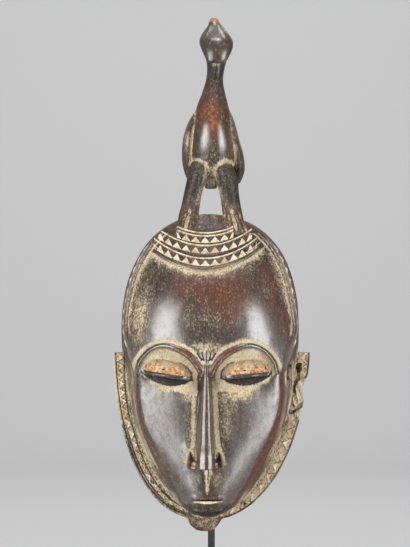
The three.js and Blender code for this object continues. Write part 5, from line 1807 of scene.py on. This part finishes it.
class MaskColours(bpy.types.PropertyGroup):
    patina: colour_property("Patina", "Darkest stained wood", (0.013, 0.0100, 0.0080))
    brown: colour_property("Brown", "Thinner stain", (0.085, 0.053, 0.034))
    # Also the colour of the painted shadow lines round the eyelids and of the painted shade in the nostrils.
    red: colour_property("Worn red", "Stain rubbed back to red wood", (0.165, 0.042, 0.019))
    red_dark: colour_property("Worn red grain", "Dark grain of the rubbed wood", (0.052, 0.017, 0.010))
    rubbed: colour_property("Rubbed edges", "Edges lightened by handling", (0.120, 0.070, 0.042))
    raw: colour_property("Bare wood", "Unstained wood in the hollow", (0.25, 0.155, 0.085))
    raw_dark: colour_property("Bare grain", "Dark grain of the bare wood", (0.12, 0.068, 0.036))
    broken: colour_property("Broken wood", "Pale wood laid bare by the breaks", (0.80, 0.66, 0.54))
    kaolin: colour_property("Kaolin", "Pale clay left in the hollows", (0.80, 0.68, 0.47))
    kaolin_warm: colour_property("Kaolin, browned", "Pale clay darkened by handling", (0.42, 0.33, 0.20))
    pale: colour_property("Chip filling", "White filling of the chips", (0.94, 0.79, 0.58))
    pale_warm: colour_property("Chip filling, browned", "Filling darkened by handling", (0.62, 0.42, 0.25))
    lid: colour_property("Eyelid", "Ochre left on the eyelids", (0.42, 0.165, 0.04))
    lid_light: colour_property("Eyelid, rubbed", "Ochre over kaolin", (0.78, 0.54, 0.27))
    # Also the colour of the painted shade under the brows, in the nostrils, on the nose's flanks and foot and
    # in the temple slot, and of the painted dark reflection along the nose's crest.
    dark: colour_property("Slit", "Smoked wood in slits and holes", (0.012, 0.010, 0.009))
    steel: colour_property("Steel", "Dark steel of the stand", (0.075, 0.077, 0.080))
    steel_light: colour_property("Steel, drawn", "Lighter streaks of the steel", (0.12, 0.12, 0.122))
    steel_brown: colour_property("Steel, browned", "Browned patches of the steel", (0.075, 0.062, 0.052))
    steel_dust: colour_property("Dust", "Dust on the steel", (0.22, 0.21, 0.19))


class StageSettings(bpy.types.PropertyGroup):
    distance: length_property("Camera distance", "From the mask to the camera", 2.2)
    frame_height: length_property("View height", "Height of the view at the mask", 0.4704)
    aim_height: length_property("Aim height", "Height that the camera looks at", 0.2915)
    side_power: number_property("Side lights", "Power of each large side light in watts", 19.0, 0, 200)
    backdrop: colour_property("Backdrop", "Colour of the floor and backdrop", (0.62, 0.62, 0.625))


def setting_names(settings):
    return [name for name in settings.bl_rna.properties.keys() if name not in ("rna_type", "name")]


def colours_of(settings):
    return {name: tuple(getattr(settings, name)) for name in setting_names(settings)}


def shared_effects():
    """The node groups that the wood and the steel both use."""
    groups = bpy.data.node_groups
    speckle = groups.get("Speckled residue") or speckle_group()
    return speckle, groups.get("Upright grain") or grain_group()


# Operators


class MASK_OT_carve(bpy.types.Operator):
    """Carve the mask with its crest and give it its patina"""

    bl_idname = "yaure_mask.carve"
    bl_label = "Carve the mask"

    def execute(self, context):
        settings = context.scene.mask_sizes
        sizes = {name: getattr(settings, name) for name in ("brow", "lid", "tooth", "undulation")}
        carving = Carving(sizes)
        low = np.array([-87.0, -3.0, -3.0])
        high = np.array([94.5, 92.0, 444.0])
        points, quads = surface_nets(sample_band(carving.field, low, high), low)
        points = settle(carving.field, points, 1)
        mask = mesh_object("carved_mask", points, quads)
        with_fewer_faces(mask, settings.triangles, fine_places(carving, *points.T))
        keep_in_box(mask.data)
        self.record_finish(mask, carving)
        colours = colours_of(context.scene.mask_colours)
        mask.data.materials.clear()
        mask.data.materials.append(carved_wood(colours, *shared_effects()))
        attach(mask, "root")
        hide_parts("mask")
        return {"FINISHED"}

    def record_finish(self, mask, carving):
        """Stores the finish over the surface as values on the vertices."""
        mesh = mask.data
        points = mask_points(mesh)
        normal = np.empty(len(points) * 3)
        mesh.vertices.foreach_get("normal", normal)
        normal = normal.reshape(-1, 3) * (1, -1, 1)
        for name, values in finish_values(carving, points, normal).items():
            layer = mesh.attributes.new(name, "FLOAT", "POINT")
            layer.data.foreach_set("value", values.astype(np.float32))


class MASK_OT_finish_stand(bpy.types.Operator):
    """Give the stand's bar and foot their steel"""

    bl_idname = "yaure_mask.finish_stand"
    bl_label = "Finish the stand"

    def execute(self, context):
        colours = colours_of(context.scene.mask_colours)
        effects = shared_effects()
        for name, label, wear in (("stand_rod", "Drawn steel bar", 0.18), ("stand_base", "Steel foot", 0.3)):
            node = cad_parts[name]
            node.data.materials.clear()
            node.data.materials.append(stand_steel(label, colours, *effects, wear))
        return {"FINISHED"}


ROOM_LIGHT = 0.09
CAMERA_X = -0.00215


class MASK_OT_stage(bpy.types.Operator):
    """Set the floor, the lights and the camera"""

    bl_idname = "yaure_mask.stage"
    bl_label = "Set the stage"

    def execute(self, context):
        settings = context.scene.mask_stage
        self.backdrop(tuple(settings.backdrop))
        self.lights(context.scene, settings.side_power)
        self.camera(context.scene, settings)
        return {"FINISHED"}

    def backdrop(self, colour):
        """A floor that curves up into a wall."""
        width, front, wall, rise, radius = 7.0, -0.15, 2.5, 4.4, 0.9
        turn = np.linspace(0, math.pi / 2, 25)
        line = [(front, 0.0), (front / 2, 0.0)]
        line += [(wall - radius + radius * math.sin(a), radius - radius * math.cos(a)) for a in turn]
        line.append((wall, rise))
        mesh = bpy.data.meshes.new("backdrop")
        points = [(side * width / 2, y, z) for y, z in line for side in SIDES]
        faces = [(2 * i, 2 * i + 1, 2 * i + 3, 2 * i + 2) for i in range(len(line) - 1)]
        mesh.from_pydata(points, [], faces)
        mesh.polygons.foreach_set("use_smooth", [True] * len(faces))
        sheet = bpy.data.objects.new("backdrop", mesh)
        bpy.context.scene.collection.objects.link(sheet)
        mesh.materials.append(backdrop_paper(colour))

    def lights(self, scene, power):
        for name, place, aim, size, watts in (
            ("left softbox", (-0.98, -0.93, -0.05), (0, -0.04, 0.15), (0.85, 1.3), power),
            ("right softbox", (1.05, -0.88, -0.05), (0, -0.04, 0.15), (0.6, 1.3), power * 0.8),
            ("overhead", (0.0, -0.9, 2.0), (0, 0, 0.3), (1.1, 0.5), power * 1.15),
            ("backdrop wash", (0.0, 0.4, 2.3), (0, 2.4, 0.8), (2.4, 0.8), power * 2.25),
        ):
            lamp = bpy.data.lights.new(name, "AREA")
            lamp.shape = "RECTANGLE"
            lamp.size, lamp.size_y = size
            lamp.energy = watts
            holder = bpy.data.objects.new(name, lamp)
            holder.location = place
            holder.rotation_euler = (Vector(aim) - Vector(place)).to_track_quat("-Z", "Y").to_euler()
            scene.collection.objects.link(holder)
        world = bpy.data.worlds.new("Room")
        world.use_nodes = True
        world.node_tree.nodes["Background"].inputs["Color"].default_value = (1, 1, 1, 1)
        world.node_tree.nodes["Background"].inputs["Strength"].default_value = ROOM_LIGHT
        scene.world = world

    def camera(self, scene, settings):
        lens = bpy.data.cameras.new("camera")
        lens.sensor_fit = "VERTICAL"
        lens.sensor_height = 24.0
        lens.lens = lens.sensor_height * settings.distance / settings.frame_height
        camera = bpy.data.objects.new("camera", lens)
        camera.location = (CAMERA_X, -settings.distance, settings.aim_height)
        camera.rotation_euler = (math.pi / 2, 0, 0)
        scene.collection.objects.link(camera)
        scene.camera = camera
        scene.view_settings.view_transform = "Standard"


class MASK_PT_sidebar(bpy.types.Panel):
    """Sizes and colours of the mask, and the steps that make it"""

    bl_label = "Yaure mask"
    bl_idname = "MASK_PT_sidebar"
    bl_space_type = "VIEW_3D"
    bl_region_type = "UI"
    bl_category = "Mask"

    def draw(self, context):
        for part in ("sizes", "colours", "stage"):
            settings = getattr(context.scene, f"mask_{part}")
            box = self.layout.box()
            box.label(text=part.capitalize())
            for name in setting_names(settings):
                box.prop(settings, name)
        for step in STEPS:
            self.layout.operator(step.bl_idname)


STEPS = (MASK_OT_stage, MASK_OT_carve, MASK_OT_finish_stand)
CLASSES = (MaskSizes, MaskColours, StageSettings, *STEPS, MASK_PT_sidebar)


def register():
    for cls in CLASSES:
        bpy.utils.register_class(cls)
    bpy.types.Scene.mask_sizes = bpy.props.PointerProperty(type=MaskSizes)
    bpy.types.Scene.mask_colours = bpy.props.PointerProperty(type=MaskColours)
    bpy.types.Scene.mask_stage = bpy.props.PointerProperty(type=StageSettings)


def unregister():
    del bpy.types.Scene.mask_stage
    del bpy.types.Scene.mask_colours
    del bpy.types.Scene.mask_sizes
    for cls in reversed(CLASSES):
        bpy.utils.unregister_class(cls)


def main():
    register()
    bpy.ops.yaure_mask.stage()
    bpy.ops.yaure_mask.carve()
    bpy.ops.yaure_mask.finish_stand()


if __name__ == "__main__":
    main()
